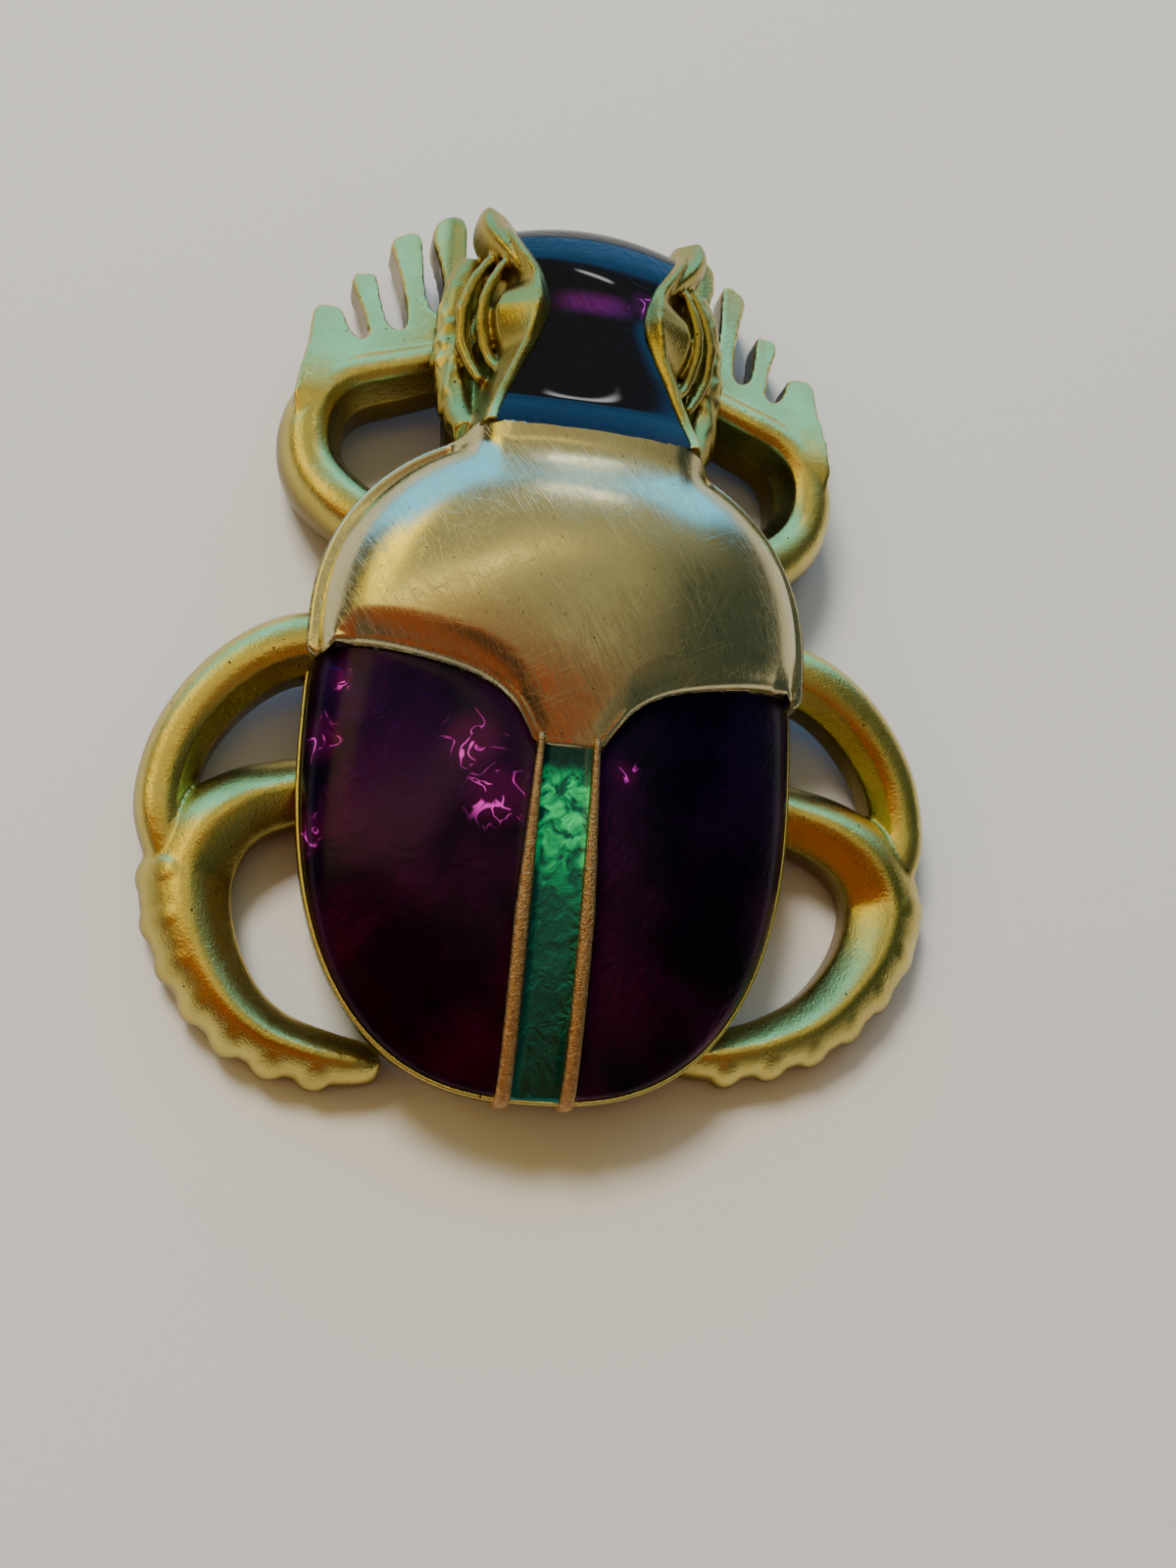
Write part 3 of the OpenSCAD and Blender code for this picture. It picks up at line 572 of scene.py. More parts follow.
def bent_blade(plan):
    """The blade: a fine net over its plan, bent to its slope."""
    count = len(plan)
    sides = [(i, (i + 1) % count, count + (i + 1) % count, count + i) for i in range(count)]
    ends = [tuple(range(count))[::-1], tuple(range(count, 2 * count))]
    flat = [(x, y, z) for z in (0, BLADE_T) for x, y in plan], sides + ends
    mesh = applied(netted("blade", [flat], 0.2))
    points = [(v.co.x, v.co.y, max(0.02, float(blade_top(v.co.x, v.co.y)) - BLADE_T + v.co.z))
              for v in mesh.vertices]
    return points, [tuple(p.vertices) for p in mesh.polygons]


fore_shells = [limb(fore_spots(LOOP_ROWS), ROUND_LEG, -1), bent_blade(closed_curve(BLADE, 3))]
piece("fore_legs", fused("fore_legs", fore_shells + [mirrored(shell) for shell in fore_shells], 0.11, 4),
      cast_gold, ["casting"])

# Head
# A raised plate frames the head's enamel and swells over each eye to a horn in front. Ribbons are cast
# on the flanks, and a neck joins the head to the shield.
HEAD_LEN, NECK_LAP, NECK_H, HEAD_W, HEAD_ENAMEL_W = 11.2, 1.0, 11.1, 13.4, 9.6
FLANK_H = 4.6
HEAD_RUN, HEAD_BACK = HEAD_LEN + NECK_LAP, SHIELD_LEN - NECK_LAP
# along, cell, base, top
HEAD_ROWS = [
    (0, 1, 0.95, 0.985), (0.06, 0.97, 0.96, 0.957), (0.12, 0.92, 0.98, 0.932), (0.145, 0.9, 0.985, 0.9245),
    (0.165, 0.88, 0.985, 0.9212), (0.22, 0.82, 0.99, 0.917), (0.3, 0.74, 1, 0.913), (0.43, 0.6, 1, 0.909),
    (0.58, 0.5, 0.99, 0.905), (0.72, 0.58, 0.95, 0.903), (0.8, 0.69, 0.92, 0.892),
    (0.86, 0.775, 0.9, 0.868), (0.92, 0.85, 0.87, 0.835), (0.965, 0.875, 0.83, 0.795),
    (1, 0.88, 0.8, 0.745)]
BROW_ROWS = [(1.03, 0.84, 0.76, 0.66), (1.05, 0.76, 0.7, 0.56)]
# Along, and then in millimetres: from the cell out to the plate's crest, the crest above the enamel, and
# from the crest out and down to the foot of its outer facet
PLATE_ROWS = [
    (0, 0.34, 0.16, 0.3, 0.5), (0.15, 0.38, 0.22, 0.4, 0.8), (0.3, 0.42, 0.28, 0.7, 1.2),
    (0.42, 0.5, 0.36, 1.1, 1.7), (0.5, 0.6, 0.62, 1.7, 1.5), (0.57, 0.66, 0.78, 2.0, 1.3),
    (0.64, 0.6, 0.7, 1.7, 1.2), (0.7, 0.5, 0.4, 0.9, 1.3), (0.8, 0.5, 0.35, 0.3, 1.1),
    (0.9, 0.42, 0.32, 0.3, 0.9), (1, 0.42, 0.4, 0.4, 0.8)]
# Middle line, width, low side and depth of the right horn
HORN = [
    (3.75, 19.6, 1.0, 6.6, 3.1), (4.2, 20.6, 1.5, 6.5, 3.1), (4.75, 21.6, 2.0, 6.3, 3.1),
    (5.1, 22.6, 2.15, 6.0, 3.0), (5.2, 23.5, 1.6, 5.8, 2.7)]
HORN_SECTION = [
    (-0.6, -1), (0.6, -1), (0.95, -0.6), (1, 0.15), (0.85, 0.7), (0.55, 0.97), (0.2, 0.92), (-0.2, 0.72),
    (-0.6, 0.52), (-0.92, 0.2), (-0.95, -0.6)]
# Ribbons of the right flank: x, y, z and radius along each
RIBBONS = [
    [(4.9, 21.0, 8.3, 0.28), (5.85, 19.6, 8.1, 0.34), (6.45, 17.9, 7.8, 0.38), (6.4, 16.2, 7.4, 0.38),
     (5.9, 14.9, 7.5, 0.34), (5.3, 13.8, 7.9, 0.24)],
    [(4.4, 20.4, 8.9, 0.24), (5.0, 19.4, 9.0, 0.28), (5.55, 17.8, 8.8, 0.3), (5.5, 16.3, 8.4, 0.3),
     (5.1, 15.0, 8.3, 0.28), (4.6, 14.1, 8.7, 0.2)],
    [(5.9, 21.4, 6.4, 0.7), (6.45, 19.8, 6.1, 0.95), (6.6, 17.4, 5.9, 1.1), (6.55, 15.0, 5.9, 1.1),
     (6.25, 12.8, 6.4, 0.95), (5.7, 11.2, 7.3, 0.75)]]


def cord(spots, sides=20, steps=8):
    """Round solid along spots of x, y, z and radius."""
    spots = eased(spots, steps)
    run = np.gradient(spots[:, :3], axis=0)
    rings = []
    for (x, y, z, radius), ahead in zip(spots, run):
        side = np.cross(ahead, (0, 0, 1.0))
        side /= np.linalg.norm(side)
        above = np.cross(side, ahead) / np.linalg.norm(ahead)
        rings.append([np.array((x, y, z)) + radius * (math.cos(a) * side + math.sin(a) * above)
                      for a in (-2 * math.pi * k / sides for k in range(sides))])
    return tube(rings)


def frame_ring(row, open_cell):
    """Section across the head: its flanks, its plates and, between them, the cell for the enamel."""
    along, cell, base, top = row[:4]
    plates = np.array(PLATE_ROWS)
    crest, proud, out, down = (np.interp(along, plates[:, 0], plates[:, k]) for k in (1, 2, 3, 4))
    y = HEAD_BACK + along * HEAD_RUN
    cell, base, top = cell * HEAD_ENAMEL_W / 2, base * HEAD_W / 2, top * NECK_H
    floor_z = top - ENAMEL_T if open_cell else top + 0.1
    facet, facet_z = cell + crest + out, top + proud - down
    half = [(base, BACK_H), (base * 1.02, (BACK_H + FLANK_H) / 2), (base, FLANK_H),
            (max(base - 0.5, facet), FLANK_H + 1.1), (facet + 0.35, (FLANK_H + 2 * facet_z) / 3 + 0.2),
            (facet, facet_z), (cell + crest + 0.16, top + proud - 0.1), (cell + crest, top + proud),
            (cell + 0.12, top + 0.12), (cell, top + 0.04), (cell - 0.02, floor_z)]
    return [(x, y, z) for x, z in half] + [(-x, y, z) for x, z in half[::-1]]


def dimpled(shell, depth, size):
    """The shell with shallow dents, as the mould left them."""
    points, faces = shell
    points = np.array(points, float)
    middle = points.mean(0)
    for k, p in enumerate(points):
        points[k] = p + Vector(p - middle).normalized() * depth * noise.noise(Vector(p) / size)
    return points, faces


rows = list(eased(HEAD_ROWS, 6))
head_shells = [tube([frame_ring(row, True) for row in rows]),
               tube([frame_ring(row, False) for row in [HEAD_ROWS[-1]] + BROW_ROWS])]
for part in [limb(eased(HORN, 6), HORN_SECTION, 1)] + [
        dimpled(cord(row), dent, 0.6) for row, dent in zip(RIBBONS, (0.15, 0.13, 0.34))]:
    head_shells += [part, mirrored(part)]
piece("head", fused("head", head_shells, 0.11, 5), cast_gold, ["casting"])

# Shield
# The smooth domed shield behind the head, polished and worn to a champagne gold. Its rear edge rolls
# over to the enamel and runs back to a point between the wing cases; a bevelled edge frames its sides.
SHIELD_TOP, SHIELD_RISE, SHIELD_POINT = 10.6, 0.3, 4.8
FLANGE_W, RIM_RISE, SKIN_T = 0.6, 3.0, 1.0
DOME_W, DOME_FRONT = SHIELD_W / 2 - FLANGE_W, SHIELD_LEN - SHIELD_MID - FLANGE_W
# x as a share of half the shield's width, y as a share of its point
SHIELD_REAR = [(1.02, 0), (0.93, 0.07), (0.7, 0.17), (0.4, 0.36), (0.25, 0.57), (0.17, 0.82), (0.13, 1)]
rear_curve = eased(SHIELD_REAR, 12)[::-1] * (SHIELD_W / 2, -SHIELD_POINT)


def shield_rear(x):
    """y of the shield's rear edge."""
    return np.interp(np.abs(x), rear_curve[:, 0], rear_curve[:, 1])


# Rounded lobe at each rear corner: its middle and radius
LOBE_X, LOBE_Y, LOBE_R = 11.92, -0.12, 0.66


def plan_rear(x):
    """y of the shield's rear edge with its rounded corners."""
    x = np.abs(x)
    lobe = LOBE_Y - np.sqrt(np.clip(LOBE_R ** 2 - (x - LOBE_X) ** 2, 0, None))
    beside_lobe = smooth_max(-shield_rear(x), np.where(x > LOBE_X - LOBE_R, -lobe, -5), 0.25)
    return np.where(x > LOBE_X, lobe, -beside_lobe)


def plan_front(x):
    """y of the shield's front edge."""
    share = np.clip(1 - (np.abs(x) / (SHIELD_W / 2)) ** SHIELD_POWER, 0, 1)
    return SHIELD_MID + (SHIELD_LEN - SHIELD_MID) * share ** (1 / SHIELD_POWER)


def shield_rim(y):
    """Height of the shield's rim, which rises towards the neck."""
    return FLANGE_H + RIM_RISE * np.clip(np.asarray(y, float) / SHIELD_LEN, 0, 1) ** 2


def shield_dome(x, y):
    """Height of the shield's dome, which falls away a little towards its point."""
    reach = np.abs(x / DOME_W) ** SHIELD_POWER + np.abs((y - SHIELD_MID) / np.where(
        y > SHIELD_MID, DOME_FRONT, 60)) ** SHIELD_POWER
    rim = shield_rim(y)
    rise = (SHIELD_TOP + SHIELD_RISE * (y - SHIELD_MID) - rim) * np.sqrt(np.clip(1 - reach, 0, 1))
    return rim + rise - 0.015 * np.clip(SHIELD_MID + 0.5 - y, 0, None) ** 2


def off_line(x, y, line):
    """Distance of each x, y from the nearest point of a line."""
    nearest = np.full(x.shape, 99.0)
    for px, py in line:
        nearest = np.minimum(nearest, (x - px) ** 2 + (y - py) ** 2)
    return np.sqrt(nearest)


def rounding(off, radius):
    """How far a rounded edge has fallen, as a share of its radius."""
    return 1 - np.sqrt(1 - (1 - np.clip(off / radius, 0, 1)) ** 2)


def sheet_solid(high, low):
    """Closed solid between two grids of points."""
    high, low = np.array(high, float), np.array(low, float)
    m, n = high.shape[:2]
    under = m * n
    faces = [(i * n + j, (i + 1) * n + j, (i + 1) * n + j + 1, i * n + j + 1)
             for i in range(m - 1) for j in range(n - 1)]
    faces += [tuple(under + k for k in face[::-1]) for face in faces]
    edge = ([i * n for i in range(m)] + [(m - 1) * n + j for j in range(1, n)]
            + [i * n + n - 1 for i in range(m - 2, -1, -1)] + [j for j in range(n - 2, 0, -1)])
    for k, here in enumerate(edge):
        there = edge[(k + 1) % len(edge)]
        faces.append((there, here, under + here, under + there))
    return np.vstack([high.reshape(-1, 3), low.reshape(-1, 3)]), faces


def dome_height(x, y, half_w, front, rear, mid_y, power, rim, top, slope):
    """Height of a dome over a squared ellipse, with its crown rising by slope towards the head."""
    dy = y - mid_y
    reach = np.abs(x / half_w) ** power + np.abs(dy / np.where(dy > 0, front, rear)) ** power
    return rim + (top + slope * dy - rim) * np.sqrt(np.clip(1 - reach, 0, 1))


# Heights on the shield, in millimetres: the bevelled band round it lies below its rim, and lower at the left
# and beside the collar, and fillets join the forms
BAND_DROP, BAND_LEFT_DROP, BAND_NECK_DROP, BAND_SLOPE, FILLET = 0.3, 0.35, 0.5, 0.45, 0.9
EDGE_R, BEVEL_R, LIP_H, LIP_W = 0.14, 0.26, 0.06, 0.14
# The collar: how far inside the enamel's corners its ends turn down, how far it stands below the neck's
# height, its slope to the shield, its bow across, and its lap over the head's enamel
COLLAR_IN, COLLAR_DROP, COLLAR_SLOPE, COLLAR_BOW, COLLAR_LAP = 0.7, 0.1, 0.3, 0.28, 0.04
# How far the rolled rear edge stands above the enamel, and the least and the most that it falls
ROLL_PROUD, ROLL_LEAST, ROLL_MOST = 0.3, 0.15, 1.1
# The net's outermost points keep just inside the plan, where both of its edges are known
INSIDE_EDGE = 0.99999
columns, steps = 210, 120
turns = np.linspace(math.pi, 0, columns + 1)
plan_x = SHIELD_W / 2 * np.cos(turns) * INSIDE_EDGE
share = (1 - np.cos(np.pi * np.arange(steps + 1) / steps)) / 2
x = np.repeat(plan_x[:, None], steps + 1, 1)
y = plan_rear(x) + (plan_front(x) - plan_rear(x)) * share
edge_x = SHIELD_W / 2 * np.cos(np.linspace(math.pi, 0, 500)) * INSIDE_EDGE
outer_line = [(px, float(plan_front(px))) for px in edge_x]
outer_line += [(side * SHIELD_W / 2, py) for side in (-1, 1) for py in np.linspace(LOBE_Y, SHIELD_MID, 12)]
outer_line += [(px, float(plan_rear(px))) for px in edge_x if abs(px) > LOBE_X - 0.25]
rear_line = [(px, float(plan_rear(px))) for px in np.linspace(-LOBE_X + 0.25, LOBE_X - 0.25, 500)]
off_outer, off_rear = off_line(x, y, outer_line), off_line(x, y, rear_line)
band = shield_rim(y) - BAND_DROP - BAND_LEFT_DROP * np.clip(-x / 5, 0, 1)
band = band - BAND_NECK_DROP * np.clip((y - 4.5) / 3.5, 0, 1)
band = band + BAND_SLOPE * np.clip(off_outer / FLANGE_W, 0, 1.2)
z = smooth_max(shield_dome(x, y), band, FILLET)
# A collar rises from the shield to the rear edge of the head's enamel
beside = np.abs(x) - HEAD_ENAMEL_W / 2 + COLLAR_IN
collar = NECK_H - COLLAR_DROP - COLLAR_SLOPE * (HEAD_BACK + COLLAR_LAP - y)
collar = collar + COLLAR_BOW * np.clip(1 - (2 * x / HEAD_ENAMEL_W) ** 2, 0, 1)
ends = HEAD_BACK + np.where(beside > COLLAR_IN + 0.05, 2, COLLAR_LAP)
collar = np.where(y < ends, collar - 0.5 * np.clip(beside, 0, None) ** 2, 0)
z = smooth_max(z, collar, FILLET)
# The rear edge rolls down to stand a little above the enamel
enamel_z = dome_height(plan_x, plan_rear(plan_x), WINGS_W / 2, WINGS_FRONT, WINGS_BACK, WINGS_MID,
                       WINGS_POWER, RIM_H, WINGS_TOP, WINGS_FALL)
fall = np.clip(z[:, 0] - enamel_z - ROLL_PROUD, ROLL_LEAST, ROLL_MOST)
fall = fall * np.clip((11.6 - np.abs(plan_x)) / 1.2, 0.25, 1)
roll = np.clip(0.7 + 0.35 * np.abs(plan_x), 0.7, 1.7)
z = z - fall[:, None] * np.clip(1 - off_rear / roll[:, None], 0, 1) ** 1.8
z = z + LIP_H * np.exp(-((off_rear - 0.22) / LIP_W) ** 2)
z = z - EDGE_R * rounding(off_rear, EDGE_R) - BEVEL_R * rounding(off_outer, BEVEL_R)
high = np.stack([x, y, z], 2)
low = high.copy()
low[..., 2] = np.minimum(z - SKIN_T, FLANGE_H - 0.4 + 6 * np.clip(off_outer - 0.9, 0, None))

# Polished gold plate on the shield: near a mirror, dulled by fine wear scratches that cross each other and
# by specks. The scratches are drawn about three times as coarse as real ones so that they show.
polished, tree = new_material("worn_polished_gold_plate")
place = add(tree, "ShaderNodeTexCoord", output="Object")


def scratches(tree, place, angle, width_mm, length_mm, start, end):
    """Thin straight marks that lie about one way: 0 beside them and 1 on them."""
    turned = add(tree, "ShaderNodeMapping", {"Vector": place, "Rotation": (0, 0, math.radians(angle)),
                                             "Scale": (width_mm * MM, length_mm * MM, 0.8 * MM)},
                 vector_type="TEXTURE")
    streaks = add(tree, "ShaderNodeTexNoise", {"Vector": turned, "Scale": 1.0, "Detail": 1.0,
                                               "Distortion": 0.15})
    return add(tree, "ShaderNodeMapRange", {"Value": streaks, "From Min": start, "From Max": end}, **SOFT)


marks = scratches(tree, place, 35, 0.03, 6.0, 0.57, 0.76)
for angle in (-20, 82, -62, 14, 57, 28):
    more = scratches(tree, place, angle, 0.028, 5.0, 0.65, 0.82)
    marks = add(tree, "ShaderNodeMath", {0: marks, 1: more}, operation="MAXIMUM")
haze = add(tree, "ShaderNodeTexNoise", {"Vector": place, "Scale": 1 / (3.5 * MM), "Detail": 5.0,
                                        "Roughness": 0.65})
speck = add(tree, "ShaderNodeTexVoronoi", {"Vector": place, "Scale": 1 / (0.55 * MM)})
speck = add(tree, "ShaderNodeMapRange", {"Value": speck, "From Min": 0.05, "From Max": 0.1, "To Min": 1.0,
                                         "To Max": 0.0})
colour = add(tree, "ShaderNodeMix", {0: haze, 6: linear("#D8CEA0"), 7: linear("#B8B088")}, **COLOURS)
colour = add(tree, "ShaderNodeMix", {0: speck, 6: colour, 7: linear("#6B5636")}, **COLOURS)
rough = add(tree, "ShaderNodeMapRange", {"Value": haze, "From Min": 0.3, "From Max": 0.7, "To Min": 0.12,
                                         "To Max": 0.27})
marks_rough = add(tree, "ShaderNodeMath", {0: marks, 1: 0.12}, operation="MULTIPLY")
rough = add(tree, "ShaderNodeMath", {0: rough, 1: marks_rough}, operation="ADD")
normal = add(tree, "ShaderNodeBump", {"Height": marks, "Strength": 0.28, "Distance": 0.012 * MM}, invert=True)
normal = grain_bump(tree, place, 0.12, 0.004, 0.4, normal)
finish(tree, {"Base Color": colour, "Metallic": 1.0, "Roughness": rough, "Normal": normal})


def placed_mesh(name, shells):
    return mesh_of(name, shells, MM, (CENTRE_X, CORNERS_Y, 0))


piece("shield", placed_mesh("shield", [sheet_solid(high, low)]), polished, ["casting"], 40)

# Rim and ridges of the wing cases
# Thin gold walls of the cells, cast with the body: the rim shows as a line outside the enamel, and two
# ridges part the wing cases from the stripe. The ridges keep the grain of the mould.
STRIPE_W, RIDGE_W, RIDGE_TOP_W, RIDGE_PROUD = 2.3, 0.8, 0.4, 0.22
RIM_R, RIM_IN, RIM_PROUD = 0.13, 0.12, 0.04
rim_rings = []
for a in np.linspace(math.radians(12), math.radians(-192), 260):
    (x, y), (next_x, next_y) = (outline(WINGS_W / 2 - RIM_IN, WINGS_FRONT, WINGS_BACK - RIM_IN, WINGS_MID,
                                        WINGS_POWER, angle) for angle in (a, a - 0.002))
    side = np.array([-(next_y - y), next_x - x])
    side /= np.linalg.norm(side)
    rim_rings.append([(x + side[0] * RIM_R * math.cos(t), y + side[1] * RIM_R * math.cos(t),
                       RIM_H + RIM_PROUD + RIM_R * 1.3 * math.sin(t))
                      for t in (2 * math.pi * i / 12 for i in range(12))])
piece("wing_rim", placed_mesh("wing_rim", [tube(rim_rings)]), cast_gold, ["casting"])


def ridge_outer(y):
    """Distance of a ridge's outer edge from the centre line."""
    grown = np.interp(-np.asarray(y, float), [SHIELD_POINT, 0.6 * (WINGS_BACK - WINGS_MID)], [0, 1])
    return STRIPE_W / 2 + RIDGE_TOP_W + (RIDGE_W - RIDGE_TOP_W) * grown


def crown_line(proud, start_y, count):
    """Points y and z down the middle of the wing cases, from start_y to the rim."""
    rear = WINGS_BACK + proud
    first = math.asin(min(1, ((WINGS_MID - start_y) / rear) ** (WINGS_POWER / 2)))
    turns = np.linspace(first, math.pi / 2, count)
    y = WINGS_MID - rear * np.sin(turns) ** (2 / WINGS_POWER)
    z = RIM_H + (WINGS_TOP + proud + WINGS_FALL * (y - WINGS_MID) - RIM_H) * np.cos(turns)
    return y, z


# Cast gold in the ridges: coarse grain, a little redder where the plating is thin
ridge_gold, tree = new_material("grained_gold_ridge")
place = add(tree, "ShaderNodeTexCoord", output="Object")
cloudy = add(tree, "ShaderNodeTexNoise", {"Vector": place, "Scale": 1 / (0.3 * MM), "Detail": 4.0})
colour = add(tree, "ShaderNodeMix", {0: cloudy, 6: linear("#E6C084"), 7: linear("#8E5228")}, **COLOURS)
finish(tree, {"Base Color": colour, "Metallic": 1.0, "Roughness": 0.3,
              "Normal": grain_bump(tree, place, 0.13, 0.09, 1.0)})

ridge_y, ridge_z = crown_line(RIDGE_PROUD, -SHIELD_POINT + 0.5, 150)
ridge_y = np.append(ridge_y, [ridge_y[-1]] * 3)
ridge_z = np.append(ridge_z, [3.5, 3.0, BACK_H + 0.1])
slope = np.stack([np.gradient(ridge_y), np.gradient(ridge_z)], 1)
slope /= np.linalg.norm(slope, axis=1)[:, None]
ridges = []
for y, z, (fall_y, fall_z) in zip(ridge_y, ridge_z, slope):
    wide = ridge_outer(y) - STRIPE_W / 2
    middle = STRIPE_W / 2 + wide / 2
    ring = []
    for i in range(20):
        c, s = math.cos(2 * math.pi * i / 20), math.sin(2 * math.pi * i / 20)
        across = math.copysign(abs(c) ** 0.6, c) * wide / 2
        deep = -0.5 + math.copysign(abs(s) ** 0.75, s) * 0.5
        ring.append((middle + across, y + fall_z * deep, z + abs(fall_y) * deep))
    ridges.append(ring)
ridge_shell = tube(ridges)
piece("ridges", placed_mesh("ridges", [ridge_shell, mirrored(ridge_shell)]), ridge_gold, ["casting"])

# Wing enamel
# Deep amethyst enamel, poured over a wrinkled gold ground and polished. It creeps up a little at the
# ridges and at the shield, and turns down steeply to the rim.
GAP, RIM_W, RIM_STEP, CREEP, WING_ENAMEL_T = 0.02, 0.2, 0.05, 0.1, 0.7


def wing_grid(columns=110, steps=80):
    """Grid over the right wing case, from the shield's edge to the rim."""
    half_w, rear = WINGS_W / 2 - RIM_W, WINGS_BACK - RIM_W
    corner_x = 12.1
    first_x = STRIPE_W / 2 + RIDGE_TOP_W + GAP
    tail_x = STRIPE_W / 2 + RIDGE_W + GAP
    tail_angle = -math.acos((tail_x / half_w) ** (WINGS_POWER / 2))
    corner_angle = math.asin(((-0.25 - WINGS_MID) / (WINGS_FRONT - RIM_W)) ** (WINGS_POWER / 2))
    grid = []
    for u in (1 - np.cos(np.pi * np.arange(columns + 1) / columns)) / 2:
        x0 = first_x + (corner_x - first_x) * u
        y0 = float(shield_rear(x0)) - GAP
        x1, y1 = outline(half_w, WINGS_FRONT - RIM_W, rear, WINGS_MID, WINGS_POWER,
                         tail_angle + (corner_angle - tail_angle) * u)
        line = []
        for s in np.sin(np.pi / 2 * np.arange(steps + 1) / steps):
            x, y = x0 + (x1 - x0) * s, y0 + (y1 - y0) * s
            x = max(x, float(ridge_outer(y)) + GAP)
            line.append((x, y))
        grid.append(line)
    return np.array(grid)


plan = wing_grid()
x, y = plan[..., 0], plan[..., 1]
off_ridge, off_shield = x - ridge_outer(y), shield_rear(x) - y
z = dome_height(x, y, WINGS_W / 2 - RIM_W, WINGS_FRONT - RIM_W, WINGS_BACK - RIM_W, WINGS_MID, WINGS_POWER,
                RIM_H + RIM_STEP, WINGS_TOP - RIM_W, WINGS_FALL)
z = z + CREEP * (np.exp(-off_ridge / 0.3) + np.exp(-off_shield / 0.35))
wing_high = np.stack([x, y, z], 2)
wing_low = wing_high - (0, 0, WING_ENAMEL_T)

# Translucent amethyst enamel, polished as glass: the wrinkled ground shows through it dark purple. Magenta
# glints along its wrinkles are painted highlights with a little emission, and a softer magenta glow is
# painted round them and in a band across the head
amethyst, tree = new_material("amethyst_enamel_on_wrinkled_gold")
place = add(tree, "ShaderNodeTexCoord", output="Object")
# Spots where the magenta glints are painted, beside the left ridge, on the flank and on the head: x, y, z and
# radius
GLINTS = [(-4.5, -4.9, 8.0, 1.8), (-3.2, -7.4, 8.0, 1.9), (-11.4, -4.8, 5.4, 1.5), (-10.6, -2.0, 6.0, 0.9),
          (-11.9, -9.4, 4.9, 1.4), (2.9, -5.8, 8.2, 0.9), (2.3, 18.2, 9.9, 1.0)]
# The painted glow on the head: the middle and reach of a band across it, and the half width of its core and
# its edge
HEAD_GLOW, GLOW_CORE, GLOW_EDGE = (-0.2, 17.7, 9.9, 2.5), 0.1, 0.85


def near(tree, place, x, y, z, radius):
    """1 at a point on the body's lines, falling to 0 at the radius."""
    off = add(tree, "ShaderNodeVectorMath", {0: place, 1: in_frame((x, y, z))}, "Value", operation="DISTANCE")
    return add(tree, "ShaderNodeMapRange", {"Value": off, "From Min": radius * MM,
                                            "From Max": radius * 0.35 * MM}, **SOFT)


zone = 0.0
for spot in GLINTS:
    zone = add(tree, "ShaderNodeMath", {0: zone, 1: near(tree, place, *spot)}, operation="MAXIMUM")
cloud = add(tree, "ShaderNodeTexNoise", {"Vector": place, "Scale": 1 / (5 * MM), "Detail": 3.0})
clear = add(tree, "ShaderNodeMapRange", {"Value": cloud, "From Min": 0.36, "From Max": 0.66}, **SOFT)
to_tail = along_body(tree, place, -1, -19)
deep = add(tree, "ShaderNodeMix", {0: to_tail, 6: linear("#0E0328"), 7: linear("#16031A")}, **COLOURS)
thin = add(tree, "ShaderNodeMix", {0: to_tail, 6: linear("#2C0646"), 7: linear("#480638")}, **COLOURS)
colour = add(tree, "ShaderNodeMix", {0: clear, 6: deep, 7: thin}, **COLOURS)
height = add(tree, "ShaderNodeSeparateXYZ", {"Vector": place}, "Z")
crown = add(tree, "ShaderNodeMapRange", {"Value": height, "From Min": 8.7 * MM, "From Max": 9.2 * MM}, **SOFT)
colour = add(tree, "ShaderNodeMix", {0: crown, 6: colour, 7: linear("#07030C")}, **COLOURS)
wrinkles = add(tree, "ShaderNodeTexNoise", {"Vector": place, "Scale": 1 / (1.7 * MM), "Detail": 1.5,
                                            "Distortion": 1.4})
fold = add(tree, "ShaderNodeMath", {0: wrinkles, 1: 0.5}, operation="SUBTRACT")
fold = add(tree, "ShaderNodeMath", {0: fold}, operation="ABSOLUTE")
# Painted highlight: thin magenta glints along the wrinkles, only round the listed spots
thread = add(tree, "ShaderNodeMapRange", {"Value": fold, "From Min": 0.028, "From Max": 0.007}, **SOFT)
broken = add(tree, "ShaderNodeTexNoise", {"Vector": place, "Scale": 1 / (0.9 * MM), "Detail": 1.0})
broken = add(tree, "ShaderNodeMapRange", {"Value": broken, "From Min": 0.42, "From Max": 0.56}, **SOFT)
painted_glint = add(tree, "ShaderNodeMath", {0: thread, 1: broken}, operation="MULTIPLY")
painted_glint = add(tree, "ShaderNodeMath", {0: painted_glint, 1: zone}, operation="MULTIPLY")
band = add(tree, "ShaderNodeSeparateXYZ", {"Vector": place}, "Y")
band = add(tree, "ShaderNodeMath", {0: band, 1: (HEAD_GLOW[1] + CORNERS_Y) * MM}, operation="SUBTRACT")
band = add(tree, "ShaderNodeMath", {0: band}, operation="ABSOLUTE")
band = add(tree, "ShaderNodeMapRange", {"Value": band, "From Min": GLOW_EDGE * MM,
                                        "From Max": GLOW_CORE * MM}, **SOFT)
band = add(tree, "ShaderNodeMath", {0: band, 1: near(tree, place, *HEAD_GLOW)}, operation="MULTIPLY")
band = add(tree, "ShaderNodeMath", {0: band, 1: 0.7}, operation="MULTIPLY")
# Painted glow: a softer magenta round the glint spots and in a band across the head
painted_glow = add(tree, "ShaderNodeMath", {0: zone, 1: 0.35}, operation="MULTIPLY")
painted_glow = add(tree, "ShaderNodeMath", {0: painted_glow, 1: band}, operation="MAXIMUM")
colour = add(tree, "ShaderNodeMix", {0: painted_glow, 6: colour, 7: linear("#7A0A6E")}, **COLOURS)
colour = add(tree, "ShaderNodeMix", {0: painted_glint, 6: colour, 7: linear("#FF4CF0")}, **COLOURS)
